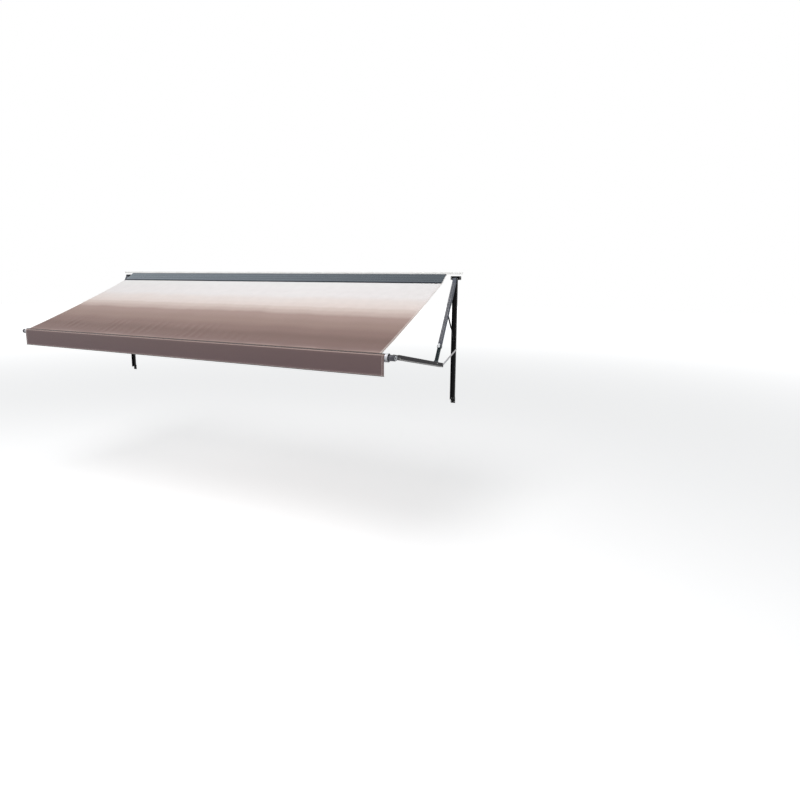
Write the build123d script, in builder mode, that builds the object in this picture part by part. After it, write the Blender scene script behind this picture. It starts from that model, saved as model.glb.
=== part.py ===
from build123d import *

import os
from math import acos, atan2, cos, degrees, hypot, radians, sin

# A roll out awning: two folding arms in wall channels carry a motor driven
# roller, and the fabric runs from a rail on the wall over that roller.
# X runs along the wall, Y into the wall, Z up. The origin is the middle of
# the rail's back face. "Out" is the distance from the wall, so Y = -out.

os.makedirs("parts", exist_ok=True)

# Overall size of the open awning
channel_spacing = 5486.0
fabric_inset = 105.0
upper_arm_tilt = 31.2
lower_arm_rise = 11.0

# Shared clearances
running_fit = 0.05
loose_fit = 0.3
side_gap = 1.0
cut_overrun = 10.0

# Wall channel
channel_width = 56.0
channel_depth = 36.0
channel_wall = 3.0
channel_corner = 4.0
channel_length = 1470.0
channel_top_drop = 40.0

# Brackets that hold the channel to the wall
bracket_plate = 4.0
top_plate_width = 130.0
top_plate_height = 44.0
top_plate_corner = 6.0
ear_wall = 3.0
ear_radius = 12.0
foot_plate_height = 75.0
foot_plate_lap = 30.0
screw_hole_radius = 3.25
top_screw_spacing = 104.0
top_screw_rise = 22.0
foot_screw_spacing = 32.0
foot_screw_margin = 20.0
rivet_radius = 2.4
rivet_head_radius = 5.0
rivet_head_height = 2.0
rivet_spacing = 28.0
rivet_row_drop = 34.0

# Shoulder pivot, where the upper arm hangs in the channel
shoulder_out = 32.0
shoulder_drop = 70.0
pin_radius = 5.0
pin_head_radius = 8.0
pin_head_height = 4.0

# Upper arm: an outer channel, a telescoping inner arm and a forged elbow
upper_arm_length = 1090.0
upper_arm_offset = 25.0
upper_width = 42.0
upper_depth = 32.0
upper_wall = 2.5
upper_corner = 3.0
inner_arm_shown = 162.0
inner_arm_lap = 122.0
inner_arm_wall = 2.5
elbow_setback = 38.0
elbow_plug_length = 70.0
elbow_radius = 14.0
elbow_width = 42.0
clamp_setback = 15.0
clamp_length = 28.0
clamp_wall = 3.0
knob_length = 48.0
knob_width = 26.0
knob_height = 12.0
knob_stem_radius = 4.0
knob_stem_length = 5.0

# Lower arm
lower_arm_length = 1072.0
roller_offset = 22.0
lower_width = 56.0
lower_depth = 48.0
lower_wall = 3.0
lower_corner = 5.0
elbow_pin_edge = 15.5
lower_tail_end = 18.0
head_length = 58.0
tail_cut = 14.0

# Control link between the wall channel and the lower arm's tail
link_place = 175.0
link_wall_out = 25.0
link_width = 22.0
link_thickness = 5.0
link_pin_radius = 4.0
link_gap = 2.5
link_boss_radius = 9.0
link_boss_gap = 0.4
link_rivet_radius = 5.0

# Gas strut
strut_wall_out = 22.0
strut_wall_drop = 792.0
strut_arm_place = 437.0
strut_barrel_radius = 9.0
strut_bore_radius = 7.0
strut_barrel_length = 226.0
strut_rod_radius = 4.0
strut_piston_length = 14.0
strut_gland_length = 12.0
strut_eye_radius = 9.0
strut_eye_width = 2 * strut_barrel_radius
strut_foot_width = 14.0
strut_pin_radius = 3.0
strut_stud_gap = 0.4
strut_ear_gap = 3.0
strut_ear_height = 34.0

# Awning rail
rail_height = 24.0
rail_flange = 3.0
rail_bulb_radius = 7.5
rail_bulb_drop = 4.0
rail_bore_radius = 4.6
rail_slot = 4.4
rail_slot_angle = 35.0
rail_end_overhang = 76.0
rail_cap_length = 8.0
rail_screw_radius = 2.4
rail_screw_rise = 7.0
rail_screw_pitch = 500.0
rail_screw_end = 60.0
rail_screw_pairs = 6
bead_radius = 4.0

# Canopy, its valance and the metal weather shield
canopy_thickness = 1.5
canopy_sag = 16.0
shield_end_out = 160.0
shield_end_drop = 116.0
shield_slats = 4
shield_thickness = 3.0
shield_slat_gap = 2.0
shield_rail_gap = 14.0
shield_end_gap = 8.0
valance_drop = 172.0
valance_overhang = 36.0
valance_start_angle = 62.0
hem_rod_radius = 2.5
hem_wall = 1.2

# Roller
tube_radius = 40.0
tube_wall = 1.3
roll_radius = 45.0
tube_overhang = 12.0
roller_cap_radius = 44.0
roller_cap_length = 54.0
roller_cap_sleeve = 30.0
roller_cap_round = 5.0
head_radius = 30.0
head_boss_radius = 27.0
head_plug_length = 54.0
head_plug_depth = 24.0
head_recess_radius = 12.0
head_recess_depth = 6.0
head_screw_radius = 3.0
head_screw_height = 3.0
head_screw_spacing = 26.0
idler_shaft_radius = 8.0
idler_shaft_length = 86.0
bearing_radius = 17.0
bearing_width = 12.0

# Tubular motor in the left end of the roller
motor_radius = 22.0
motor_length = 520.0
motor_shaft_radius = 6.0
motor_shaft_length = 26.0
crown_width = 16.0
drive_wheel_width = 20.0
gland_radius = 7.0
gland_length = 14.0
gland_bore = 3.2

# Places worked out from the sizes above
arm_x = channel_spacing / 2
fabric_half = arm_x - fabric_inset
valance_half = fabric_half + valance_overhang
tube_half = fabric_half + tube_overhang
rail_half = arm_x + rail_end_overhang
channel_back = bracket_plate
channel_bottom = channel_top_drop + channel_length
cap_outer_x = tube_half + roller_cap_length
head_half = lower_width / 2
upper_angle = upper_arm_tilt - 90

# Places along the arms: the telescope follows the elbow, the clamp its outer tube
inner_arm_end = upper_arm_length - elbow_setback
outer_arm_length = inner_arm_end - inner_arm_shown
inner_arm_start = outer_arm_length - inner_arm_lap
clamp_place = outer_arm_length - clamp_setback
lower_tail = link_place + lower_tail_end
lower_body_end = lower_arm_length - head_length
head_plug_start = lower_body_end - head_plug_length


def step(start, along, away, angle):
    # A point in (out, up), along a direction and then a quarter turn clockwise of it
    turn = radians(angle)
    return (
        start[0] + along * cos(turn) + away * sin(turn),
        start[1] + along * sin(turn) - away * cos(turn),
    )


shoulder = (shoulder_out, -shoulder_drop)
elbow = step(shoulder, upper_arm_length, -upper_arm_offset, upper_angle)
roller_axis = step(elbow, lower_arm_length, roller_offset, lower_arm_rise)
link_arm_pivot = step(elbow, -link_place, 0, lower_arm_rise)
strut_arm_pivot = step(shoulder, strut_arm_place, 0, upper_angle)
strut_wall_pivot = (strut_wall_out, -strut_wall_drop)

# Closed, the upper arm hangs straight down and the lower arm stands on its elbow
closed_elbow = step(shoulder, upper_arm_length, -upper_arm_offset, -90)
closed_link_pivot = step(closed_elbow, -link_place, 0, 90)
elbow_turn = upper_arm_tilt + 90 - lower_arm_rise

# The arm head's plug lies against the lower arm's web
lower_web_inside = lower_depth - elbow_pin_edge - lower_wall
head_plug_middle = lower_web_inside - head_plug_depth / 2

# The link's wall pivot lies as far from its other end open as closed
link_wall_drop = -(
    (link_arm_pivot[0] - link_wall_out) ** 2
    + link_arm_pivot[1] ** 2
    - (closed_link_pivot[0] - link_wall_out) ** 2
    - closed_link_pivot[1] ** 2
) / (2 * (link_arm_pivot[1] - closed_link_pivot[1]))
link_wall_pivot = (link_wall_out, -link_wall_drop)
print("elbow", elbow, "roller axis", roller_axis, "elbow turn", elbow_turn)
print("link wall pivot", link_wall_pivot, "link arm pivot", link_arm_pivot)


def between(a, b):
    # Length and angle above level of the line from a to b, both in (out, up)
    return hypot(b[0] - a[0], b[1] - a[1]), degrees(atan2(b[1] - a[1], b[0] - a[0]))


def side_plane(point, angle, x=0):
    # Local x along the angle, local z along world X, local y a quarter turn clockwise
    turn = radians(angle)
    return Plane(
        origin=(x, -point[0], point[1]),
        x_dir=(0, -cos(turn), sin(turn)),
        z_dir=(1, 0, 0),
    )


def section_plane(point, angle, x):
    # Across an arm: local x along world X, local z along the arm
    turn = radians(angle)
    return Plane(
        origin=(x, -point[0], point[1]),
        x_dir=(1, 0, 0),
        z_dir=(0, -cos(turn), sin(turn)),
    )


def wall_plane(x, z, out=0):
    # Parallel to the wall, seen from outside: local x to the right, local y up
    return Plane(origin=(x, -out, z), x_dir=(1, 0, 0), z_dir=(0, -1, 0))


def pin_plane(point, x):
    # Across a pin, at world X
    return Plane(origin=(x, -point[0], point[1]), x_dir=(0, -1, 0), z_dir=(1, 0, 0))


def save(name, part):
    part.label = name
    export_step(part, "parts/" + name + ".step")


def sided(side, name):
    return ("right_" if side > 0 else "left_") + name


def make_channel_section(width, depth, wall, corner, opens):
    # A channel with its web on one side and rounded corners along that web
    Rectangle(width, depth)
    web = 0 if opens > 0 else -1
    fillet(vertices().group_by(Axis.Y)[web], corner)
    with Locations((0, opens * wall)):
        Rectangle(width - 2 * wall, depth, mode=Mode.SUBTRACT)


def add_pin(point, x_from, x_to, radius, head_radius, head_height):
    # A round pin along X with a head beyond its second end, in the part being built
    away = 1 if x_to > x_from else -1
    with BuildSketch(pin_plane(point, x_from)) as shank:
        Circle(radius)
    extrude(shank.sketch, amount=x_to - x_from)
    with BuildSketch(pin_plane(point, x_to)) as head:
        Circle(head_radius)
    extrude(head.sketch, amount=away * head_height)


def make_awning_rail():
    with BuildPart() as rail:
        with BuildSketch(side_plane((0, 0), 0, -rail_half)):
            with Locations((rail_flange / 2, 0)):
                Rectangle(rail_flange, rail_height)
            with Locations((rail_bulb_radius, rail_bulb_drop)):
                Circle(rail_bulb_radius)
                Circle(rail_bore_radius, mode=Mode.SUBTRACT)
            with Locations(Location((rail_bulb_radius, rail_bulb_drop), rail_slot_angle)):
                with Locations((rail_bulb_radius, 0)):
                    Rectangle(2 * rail_bulb_radius, rail_slot, mode=Mode.SUBTRACT)
        extrude(amount=2 * rail_half)
        places = []
        for pair in range(rail_screw_pairs):
            place = rail_half - rail_screw_end - pair * rail_screw_pitch
            places += [(place, rail_screw_rise), (-place, rail_screw_rise)]
        with BuildSketch(wall_plane(0, 0, rail_flange)):
            with Locations(*places):
                Circle(rail_screw_radius)
        extrude(amount=-rail_flange, mode=Mode.SUBTRACT)
    save("awning_rail", rail.part)


def make_rail_end_caps():
    with BuildPart() as caps:
        for side in (-1, 1):
            with BuildSketch(side_plane((0, 0), 0, side * rail_half)):
                with Locations((rail_bulb_radius, 0)):
                    Rectangle(2 * rail_bulb_radius, rail_height)
                fillet(vertices().group_by(Axis.X)[-1], rail_bulb_radius / 2)
            extrude(amount=side * rail_cap_length)
    save("rail_end_caps", caps.part)


def make_wall_channel(side):
    x = side * arm_x
    centre = (channel_back + channel_depth / 2, -channel_top_drop)
    with BuildPart() as channel:
        with BuildSketch(section_plane(centre, -90, x)):
            make_channel_section(channel_width, channel_depth, channel_wall, channel_corner, 1)
        extrude(amount=channel_length)
        with BuildSketch(pin_plane(shoulder, x - channel_width)):
            Circle(pin_radius)
        extrude(amount=2 * channel_width, mode=Mode.SUBTRACT)
        with BuildSketch(pin_plane(link_wall_pivot, x)):
            Circle(link_pin_radius)
        extrude(amount=side * channel_width, mode=Mode.SUBTRACT)
        with BuildSketch(wall_plane(x, 0, channel_back)):
            for z in rivet_rows():
                with Locations((0, z)):
                    with GridLocations(rivet_spacing, 0, 2, 1):
                        Circle(rivet_radius)
        extrude(amount=channel_wall, mode=Mode.SUBTRACT)
    save(sided(side, "wall_channel"), channel.part)


def rivet_rows():
    # Heights of the rivets at the top bracket and at the foot bracket
    return (-channel_top_drop - rivet_row_drop, -channel_bottom + foot_plate_lap / 2)


def make_top_bracket(side):
    x = side * arm_x
    plate_z = -channel_top_drop - top_plate_height / 2
    plate_z += top_plate_corner
    ear_x = channel_width / 2
    with BuildPart() as bracket:
        with BuildSketch(wall_plane(x, plate_z)):
            RectangleRounded(top_plate_width, top_plate_height, top_plate_corner)
            with GridLocations(top_screw_spacing, top_screw_rise, 2, 2):
                Circle(screw_hole_radius, mode=Mode.SUBTRACT)
            with Locations((0, rivet_rows()[0] - plate_z)):
                with GridLocations(rivet_spacing, 0, 2, 1):
                    Circle(rivet_radius, mode=Mode.SUBTRACT)
        extrude(amount=bracket_plate)
        for ear in (-1, 1):
            with BuildSketch(side_plane((bracket_plate, shoulder[1]), 0, x + ear * ear_x)):
                reach = shoulder_out - bracket_plate
                with Locations((reach / 2, 0)):
                    Rectangle(reach, 2 * ear_radius)
                with Locations((reach, 0)):
                    Circle(ear_radius)
                    Circle(pin_radius, mode=Mode.SUBTRACT)
            extrude(amount=ear * ear_wall)
    save(sided(side, "top_bracket"), bracket.part)


def make_foot_bracket(side):
    x = side * arm_x
    top = -channel_bottom + foot_plate_lap
    with BuildPart() as bracket:
        with BuildSketch(wall_plane(x, top - foot_plate_height / 2)):
            RectangleRounded(channel_width, foot_plate_height, top_plate_corner)
            with Locations((0, foot_screw_margin - foot_plate_height / 2)):
                with GridLocations(foot_screw_spacing, 0, 2, 1):
                    Circle(screw_hole_radius, mode=Mode.SUBTRACT)
            with Locations((0, foot_plate_height / 2 - foot_plate_lap / 2)):
                with GridLocations(rivet_spacing, 0, 2, 1):
                    Circle(rivet_radius, mode=Mode.SUBTRACT)
        extrude(amount=bracket_plate)
    save(sided(side, "foot_bracket"), bracket.part)


def make_channel_rivets():
    with BuildPart() as rivets:
        for side in (-1, 1):
            for z in rivet_rows():
                with BuildSketch(wall_plane(side * arm_x, z)):
                    with GridLocations(rivet_spacing, 0, 2, 1):
                        Circle(rivet_radius)
                extrude(amount=bracket_plate + channel_wall)
                with BuildSketch(wall_plane(side * arm_x, z, bracket_plate + channel_wall)):
                    with GridLocations(rivet_spacing, 0, 2, 1):
                        Circle(rivet_head_radius)
                extrude(amount=rivet_head_height)
        tops = rivets.faces().filter_by(Axis.Y).group_by(Axis.Y)[0]
        chamfer(tops.edges(), rivet_head_height / 3)
    save("channel_rivets", rivets.part)


def make_strut_bracket(side):
    x = side * arm_x
    ear_x = strut_foot_width / 2 + strut_ear_gap
    base_out = channel_back + channel_wall
    reach = strut_wall_out - base_out
    with BuildPart() as bracket:
        with BuildSketch(wall_plane(x, strut_wall_pivot[1], base_out)):
            Rectangle(2 * (ear_x + upper_wall), strut_ear_height)
        extrude(amount=upper_wall)
        for ear in (-1, 1):
            with BuildSketch(side_plane((base_out, strut_wall_pivot[1]), 0, x + ear * ear_x)):
                with Locations((reach / 2, 0)):
                    Rectangle(reach, 2 * strut_eye_radius)
                with Locations((reach, 0)):
                    Circle(strut_eye_radius)
                    Circle(strut_pin_radius, mode=Mode.SUBTRACT)
            extrude(amount=ear * upper_wall)
    save(sided(side, "strut_bracket"), bracket.part)


def make_upper_arm(side):
    x = side * arm_x
    with BuildPart() as arm:
        with BuildSketch(section_plane(shoulder, upper_angle, x)):
            make_channel_section(upper_width, upper_depth, upper_wall, upper_corner, -1)
        extrude(amount=outer_arm_length)
        # The shoulder end is a solid round block that carries the pivot
        with BuildSketch(side_plane(shoulder, upper_angle, x)):
            Circle(upper_depth / 2)
            with Locations((upper_depth / 2, 0)):
                Rectangle(upper_depth, upper_depth)
        extrude(amount=upper_width / 2, both=True)
        with BuildSketch(side_plane(shoulder, upper_angle, x - upper_width)):
            Circle(pin_radius + running_fit)
        extrude(amount=2 * upper_width, mode=Mode.SUBTRACT)
        with BuildSketch(side_plane(strut_arm_pivot, upper_angle, x - upper_width)):
            Circle(strut_pin_radius)
        extrude(amount=2 * upper_width, mode=Mode.SUBTRACT)
    save(sided(side, "upper_arm"), arm.part)


def inner_arm_size():
    width = upper_width - 2 * upper_wall - 2 * loose_fit
    depth = upper_depth - 2 * upper_wall - loose_fit
    return width, depth


def make_inner_arm(side):
    x = side * arm_x
    width, depth = inner_arm_size()
    start = step(shoulder, inner_arm_start, 0, upper_angle)
    with BuildPart() as arm:
        with BuildSketch(section_plane(start, upper_angle, x)):
            RectangleRounded(width, depth, inner_arm_wall)
            Rectangle(width - 2 * inner_arm_wall, depth - 2 * inner_arm_wall, mode=Mode.SUBTRACT)
        extrude(amount=inner_arm_end - inner_arm_start)
    save(sided(side, "inner_arm"), arm.part)


def make_elbow(side):
    x = side * arm_x
    width, depth = inner_arm_size()
    plug_width = width - 2 * inner_arm_wall
    plug_depth = depth - 2 * inner_arm_wall
    plug = step(shoulder, inner_arm_end - elbow_plug_length, 0, upper_angle)
    with BuildPart() as casting:
        with BuildSketch(section_plane(plug, upper_angle, x)):
            Rectangle(plug_width, plug_depth)
        extrude(amount=elbow_plug_length)
        with BuildSketch(side_plane(elbow, upper_angle, x)) as side_view:
            Circle(elbow_radius)
            neck = upper_arm_length - inner_arm_end - inner_arm_wall / 2
            with Locations((-neck, upper_arm_offset)):
                Rectangle(inner_arm_wall, depth)
            make_hull(side_view.edges())
        extrude(amount=elbow_width / 2, both=True)
        with BuildSketch(side_plane(elbow, upper_angle, x - elbow_width)):
            Circle(pin_radius + running_fit)
        extrude(amount=2 * elbow_width, mode=Mode.SUBTRACT)
    save(sided(side, "elbow_casting"), casting.part)


def make_pitch_clamp(side):
    x = side * arm_x
    start = step(shoulder, clamp_place - clamp_length / 2, 0, upper_angle)
    with BuildPart() as clamp:
        with BuildSketch(section_plane(start, upper_angle, x)):
            RectangleRounded(upper_width + 2 * clamp_wall, upper_depth + 2 * clamp_wall, clamp_wall)
            Rectangle(
                upper_width + 2 * running_fit,
                upper_depth + 2 * running_fit,
                mode=Mode.SUBTRACT,
            )
        extrude(amount=clamp_length)
        with BuildSketch(knob_plane(side)):
            Circle(knob_stem_radius + running_fit)
        extrude(amount=-(clamp_wall + cut_overrun), mode=Mode.SUBTRACT)
    save(sided(side, "pitch_clamp"), clamp.part)


def knob_plane(side):
    # On the clamp's outward face, where the knob's screw stands
    turn = radians(upper_angle)
    point = step(shoulder, clamp_place, -(upper_depth / 2 + clamp_wall), upper_angle)
    return Plane(
        origin=(side * arm_x, -point[0], point[1]),
        x_dir=(1, 0, 0),
        z_dir=(0, sin(turn), cos(turn)),
    )


def make_clamp_knob(side):
    plane = knob_plane(side)
    inside = clamp_wall - loose_fit
    with BuildPart() as knob:
        with BuildSketch(plane.offset(-inside)):
            Circle(knob_stem_radius)
        extrude(amount=inside + knob_stem_length)
        with BuildSketch(plane.offset(knob_stem_length)):
            SlotOverall(knob_length, knob_width, rotation=90)
        extrude(amount=knob_height)
        top = knob.faces().sort_by_distance(plane.offset(knob_stem_length + knob_height).origin)
        chamfer(top[0].edges(), knob_stem_radius / 3)
    save(sided(side, "clamp_knob"), knob.part)


def make_lower_arm(side):
    x = side * arm_x
    middle = lower_depth / 2 - elbow_pin_edge
    start = step(elbow, -lower_tail, middle, lower_arm_rise)
    with BuildPart() as arm:
        with BuildSketch(section_plane(start, lower_arm_rise, x)):
            make_channel_section(lower_width, lower_depth, lower_wall, lower_corner, 1)
        extrude(amount=lower_tail + lower_body_end)
        for point in (elbow, link_arm_pivot):
            with BuildSketch(side_plane(point, lower_arm_rise, x - lower_width)):
                Circle(pin_radius)
            extrude(amount=2 * lower_width, mode=Mode.SUBTRACT)
        # The tail's free corners are cut off, clear of the closed position
        with BuildSketch(side_plane(start, lower_arm_rise, x - lower_width)):
            with BuildLine():
                corner = -lower_depth / 2
                Polyline(
                    (0, corner + tail_cut),
                    (0, corner),
                    (tail_cut, corner),
                    close=True,
                )
            make_face()
        extrude(amount=2 * lower_width, mode=Mode.SUBTRACT)
        # Holes for the screws of the arm head
        for place in head_screw_places():
            point = step(elbow, place, head_plug_middle, lower_arm_rise)
            with BuildSketch(side_plane(point, lower_arm_rise, x)):
                Circle(head_screw_radius)
            extrude(amount=side * lower_width, mode=Mode.SUBTRACT)
    save(sided(side, "lower_arm"), arm.part)


def make_arm_head(side):
    # The casting at the roller's end: a plug in the arm, a dished round head and a boss
    x = side * arm_x
    inner = lower_width / 2 - lower_wall
    plug_length = lower_body_end - head_plug_start
    boss_length = arm_x - head_half - cap_outer_x - side_gap
    with BuildPart() as head:
        with BuildSketch(side_plane(elbow, lower_arm_rise, x)):
            with Locations((head_plug_start + plug_length / 2, head_plug_middle)):
                Rectangle(plug_length, head_plug_depth)
        extrude(amount=inner, both=True)
        with BuildSketch(side_plane(elbow, lower_arm_rise, x)) as side_view:
            with Locations((lower_arm_length, roller_offset)):
                Circle(head_radius)
            with Locations((lower_body_end + lower_wall / 2, head_plug_middle)):
                Rectangle(lower_wall, head_plug_depth + 2 * lower_wall)
            make_hull(side_view.edges())
        extrude(amount=head_half, both=True)
        with BuildSketch(pin_plane(roller_axis, x - side * head_half)):
            Circle(head_boss_radius)
        extrude(amount=-side * boss_length)
        rims = head.edges().filter_by(GeomType.CIRCLE).group_by(Axis.X)
        chamfer(rims[-1 if side > 0 else 0], lower_wall)
        bore = idler_shaft_radius if side > 0 else motor_shaft_radius
        with BuildSketch(pin_plane(roller_axis, x)):
            Circle(bore)
        extrude(amount=-side * (head_half + boss_length + cut_overrun), mode=Mode.SUBTRACT)
        with BuildSketch(pin_plane(roller_axis, x + side * head_half)):
            Circle(head_recess_radius)
        extrude(amount=-side * head_recess_depth, mode=Mode.SUBTRACT)
        for place in head_screw_places():
            point = step(elbow, place, head_plug_middle, lower_arm_rise)
            with BuildSketch(pin_plane(point, x)):
                Circle(head_screw_radius)
            extrude(amount=side * head_half, mode=Mode.SUBTRACT)
    save(sided(side, "arm_head"), head.part)


def head_screw_places():
    middle = (head_plug_start + lower_body_end) / 2
    return (middle - head_screw_spacing / 2, middle + head_screw_spacing / 2)


def make_head_screws(side):
    # Their heads lie on the arm's outer flange
    x = side * arm_x
    with BuildPart() as screws:
        for place in head_screw_places():
            point = step(elbow, place, head_plug_middle, lower_arm_rise)
            with BuildSketch(pin_plane(point, x + side * head_half)):
                Circle(2 * head_screw_radius)
                RegularPolygon(head_screw_radius, 6, mode=Mode.SUBTRACT)
            extrude(amount=side * head_screw_height)
            with BuildSketch(pin_plane(point, x + side * (head_half - head_screw_spacing / 2))):
                Circle(head_screw_radius)
            extrude(amount=side * head_screw_spacing / 2)
    save(sided(side, "head_screws"), screws.part)


def make_control_link(side):
    # A flat bar with a boss at each end, towards the channel and the arm
    length, angle = between(link_wall_pivot, link_arm_pivot)
    flange_x = side * (arm_x + lower_width / 2)
    inner_x = flange_x + side * link_gap
    with BuildPart() as link:
        with BuildSketch(side_plane(link_wall_pivot, angle, inner_x)):
            with Locations((length / 2, 0)):
                SlotCenterToCenter(length, link_width)
        extrude(amount=side * link_thickness)
        for point in (link_wall_pivot, link_arm_pivot):
            with BuildSketch(side_plane(point, angle, flange_x + side * link_boss_gap)):
                Circle(link_boss_radius)
            extrude(amount=side * link_gap)
        with BuildSketch(side_plane(link_wall_pivot, angle, flange_x)):
            Circle(link_pin_radius + running_fit)
        extrude(amount=side * (link_gap + link_thickness + side_gap), mode=Mode.SUBTRACT)
        # The rivet head at the lower arm's end is part of the link
        with BuildSketch(pin_plane(link_arm_pivot, inner_x + side * link_thickness)):
            Circle(link_rivet_radius)
        extrude(amount=side * link_thickness / 2)
        rims = link.edges().filter_by(GeomType.CIRCLE).group_by(Axis.X)
        chamfer(rims[-1 if side > 0 else 0], link_thickness / 5)
    save(sided(side, "control_link"), link.part)


def make_strut(side):
    # The barrel hangs from the arm and the rod stands on the wall's bracket
    x = side * arm_x
    length, angle = between(strut_arm_pivot, strut_wall_pivot)
    neck = strut_pin_radius + strut_ear_gap
    with BuildPart() as cylinder:
        with BuildSketch(side_plane(strut_arm_pivot, angle, x)):
            Circle(strut_eye_radius)
        extrude(amount=strut_eye_width / 2, both=True)
        barrel_start = step(strut_arm_pivot, neck, 0, angle)
        with BuildSketch(section_plane(barrel_start, angle, x)):
            Circle(strut_barrel_radius)
        extrude(amount=strut_barrel_length - neck)
        bore_start = step(strut_arm_pivot, 2 * strut_eye_radius, 0, angle)
        bore_length = strut_barrel_length - 2 * strut_eye_radius
        with BuildSketch(section_plane(bore_start, angle, x)):
            Circle(strut_bore_radius)
        extrude(amount=bore_length - strut_gland_length, mode=Mode.SUBTRACT)
        with BuildSketch(section_plane(bore_start, angle, x)):
            Circle(strut_rod_radius + running_fit)
        extrude(amount=bore_length, mode=Mode.SUBTRACT)
    save(sided(side, "strut_cylinder"), cylinder.part)

    rod_start = strut_barrel_length - strut_gland_length - 2 * strut_piston_length
    piston = step(strut_arm_pivot, rod_start, 0, angle)
    with BuildPart() as rod:
        with BuildSketch(section_plane(piston, angle, x)):
            Circle(strut_bore_radius - running_fit)
        extrude(amount=strut_piston_length)
        with BuildSketch(section_plane(piston, angle, x)):
            Circle(strut_rod_radius)
        extrude(amount=length - rod_start)
        with BuildSketch(side_plane(strut_wall_pivot, angle, x)):
            Circle(strut_eye_radius)
        extrude(amount=strut_foot_width / 2, both=True)
        with BuildSketch(side_plane(strut_wall_pivot, angle, x - strut_foot_width)):
            Circle(strut_pin_radius + running_fit)
        extrude(amount=2 * strut_foot_width, mode=Mode.SUBTRACT)
    save(sided(side, "strut_rod"), rod.part)


def make_wall_pins():
    # Pins and washers that stay with the channels, one node for each kind
    outer = channel_width / 2 + ear_wall
    with BuildPart() as shoulder_pins:
        for side in (-1, 1):
            x = side * arm_x
            near = x - side * outer
            far = x + side * outer
            add_pin(shoulder, near, far, pin_radius, pin_head_radius, pin_head_height)
    save("shoulder_pins", shoulder_pins.part)

    flange = channel_width / 2
    link_face = flange + link_gap + link_thickness + loose_fit
    with BuildPart() as link_pins:
        for side in (-1, 1):
            near = side * (arm_x + flange - channel_wall)
            far = side * (arm_x + link_face)
            add_pin(link_wall_pivot, near, far, link_pin_radius, link_boss_radius, side_gap)
    save("link_wall_pins", link_pins.part)

    ear = strut_foot_width / 2 + strut_ear_gap + upper_wall
    with BuildPart() as strut_pins:
        for side in (-1, 1):
            near = side * (arm_x - ear)
            far = side * (arm_x + ear)
            head = strut_pin_radius + side_gap
            add_pin(strut_wall_pivot, near, far, strut_pin_radius, head, side_gap)
    save("strut_wall_pins", strut_pins.part)

    inner = upper_width / 2 + loose_fit
    spacer = channel_width / 2 - channel_wall - inner
    with BuildPart() as washers:
        for side in (-1, 1):
            for way in (-1, 1):
                with BuildSketch(pin_plane(shoulder, side * arm_x + way * inner)):
                    Circle(pin_head_radius)
                    Circle(pin_radius + running_fit, mode=Mode.SUBTRACT)
                extrude(amount=way * spacer)
    save("shoulder_washers", washers.part)


def make_arm_pins(side):
    x = side * arm_x
    half = lower_width / 2
    with BuildPart() as elbow_pin:
        near = x - side * half
        far = x + side * half
        add_pin(elbow, near, far, pin_radius, elbow_radius / 2, pin_head_height / 2)
    save(sided(side, "elbow_pin"), elbow_pin.part)

    # Two studs hold the strut's eye between them, and the barrel can pass them
    with BuildPart() as studs:
        for way in (-1, 1):
            near = x + way * (strut_eye_width / 2 + strut_stud_gap)
            far = x + way * upper_width / 2
            head = 2 * strut_pin_radius
            add_pin(strut_arm_pivot, near, far, strut_pin_radius, head, side_gap)
    save(sided(side, "strut_studs"), studs.part)

    inner = elbow_width / 2 + loose_fit
    spacer = lower_width / 2 - lower_wall - inner
    with BuildPart() as washers:
        for way in (-1, 1):
            with BuildSketch(pin_plane(elbow, x + way * inner)):
                Circle(pin_head_radius)
                Circle(pin_radius + running_fit, mode=Mode.SUBTRACT)
            extrude(amount=way * spacer)
    save(sided(side, "elbow_washers"), washers.part)


# Path of the fabric from the rail's bore to the roll, in (out, up)
bead_point = (rail_bulb_radius, -rail_bulb_drop)
shield_end = (shield_end_out, -shield_end_drop)
sheet_on_roll = roll_radius + loose_fit + canopy_thickness / 2


def roll_touch_point():
    # Where the line from the shield's end meets the top of the roll
    reach, angle = between(shield_end, roller_axis)
    lift = degrees(acos(sheet_on_roll / reach))
    turn = radians(angle + 180 - lift)
    return (
        roller_axis[0] + sheet_on_roll * cos(turn),
        roller_axis[1] + sheet_on_roll * sin(turn),
    )


def shifted(point, angle, rise):
    # A point moved square to a direction, upwards for a positive rise
    turn = radians(angle)
    return (point[0] - rise * sin(turn), point[1] + rise * cos(turn))


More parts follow.
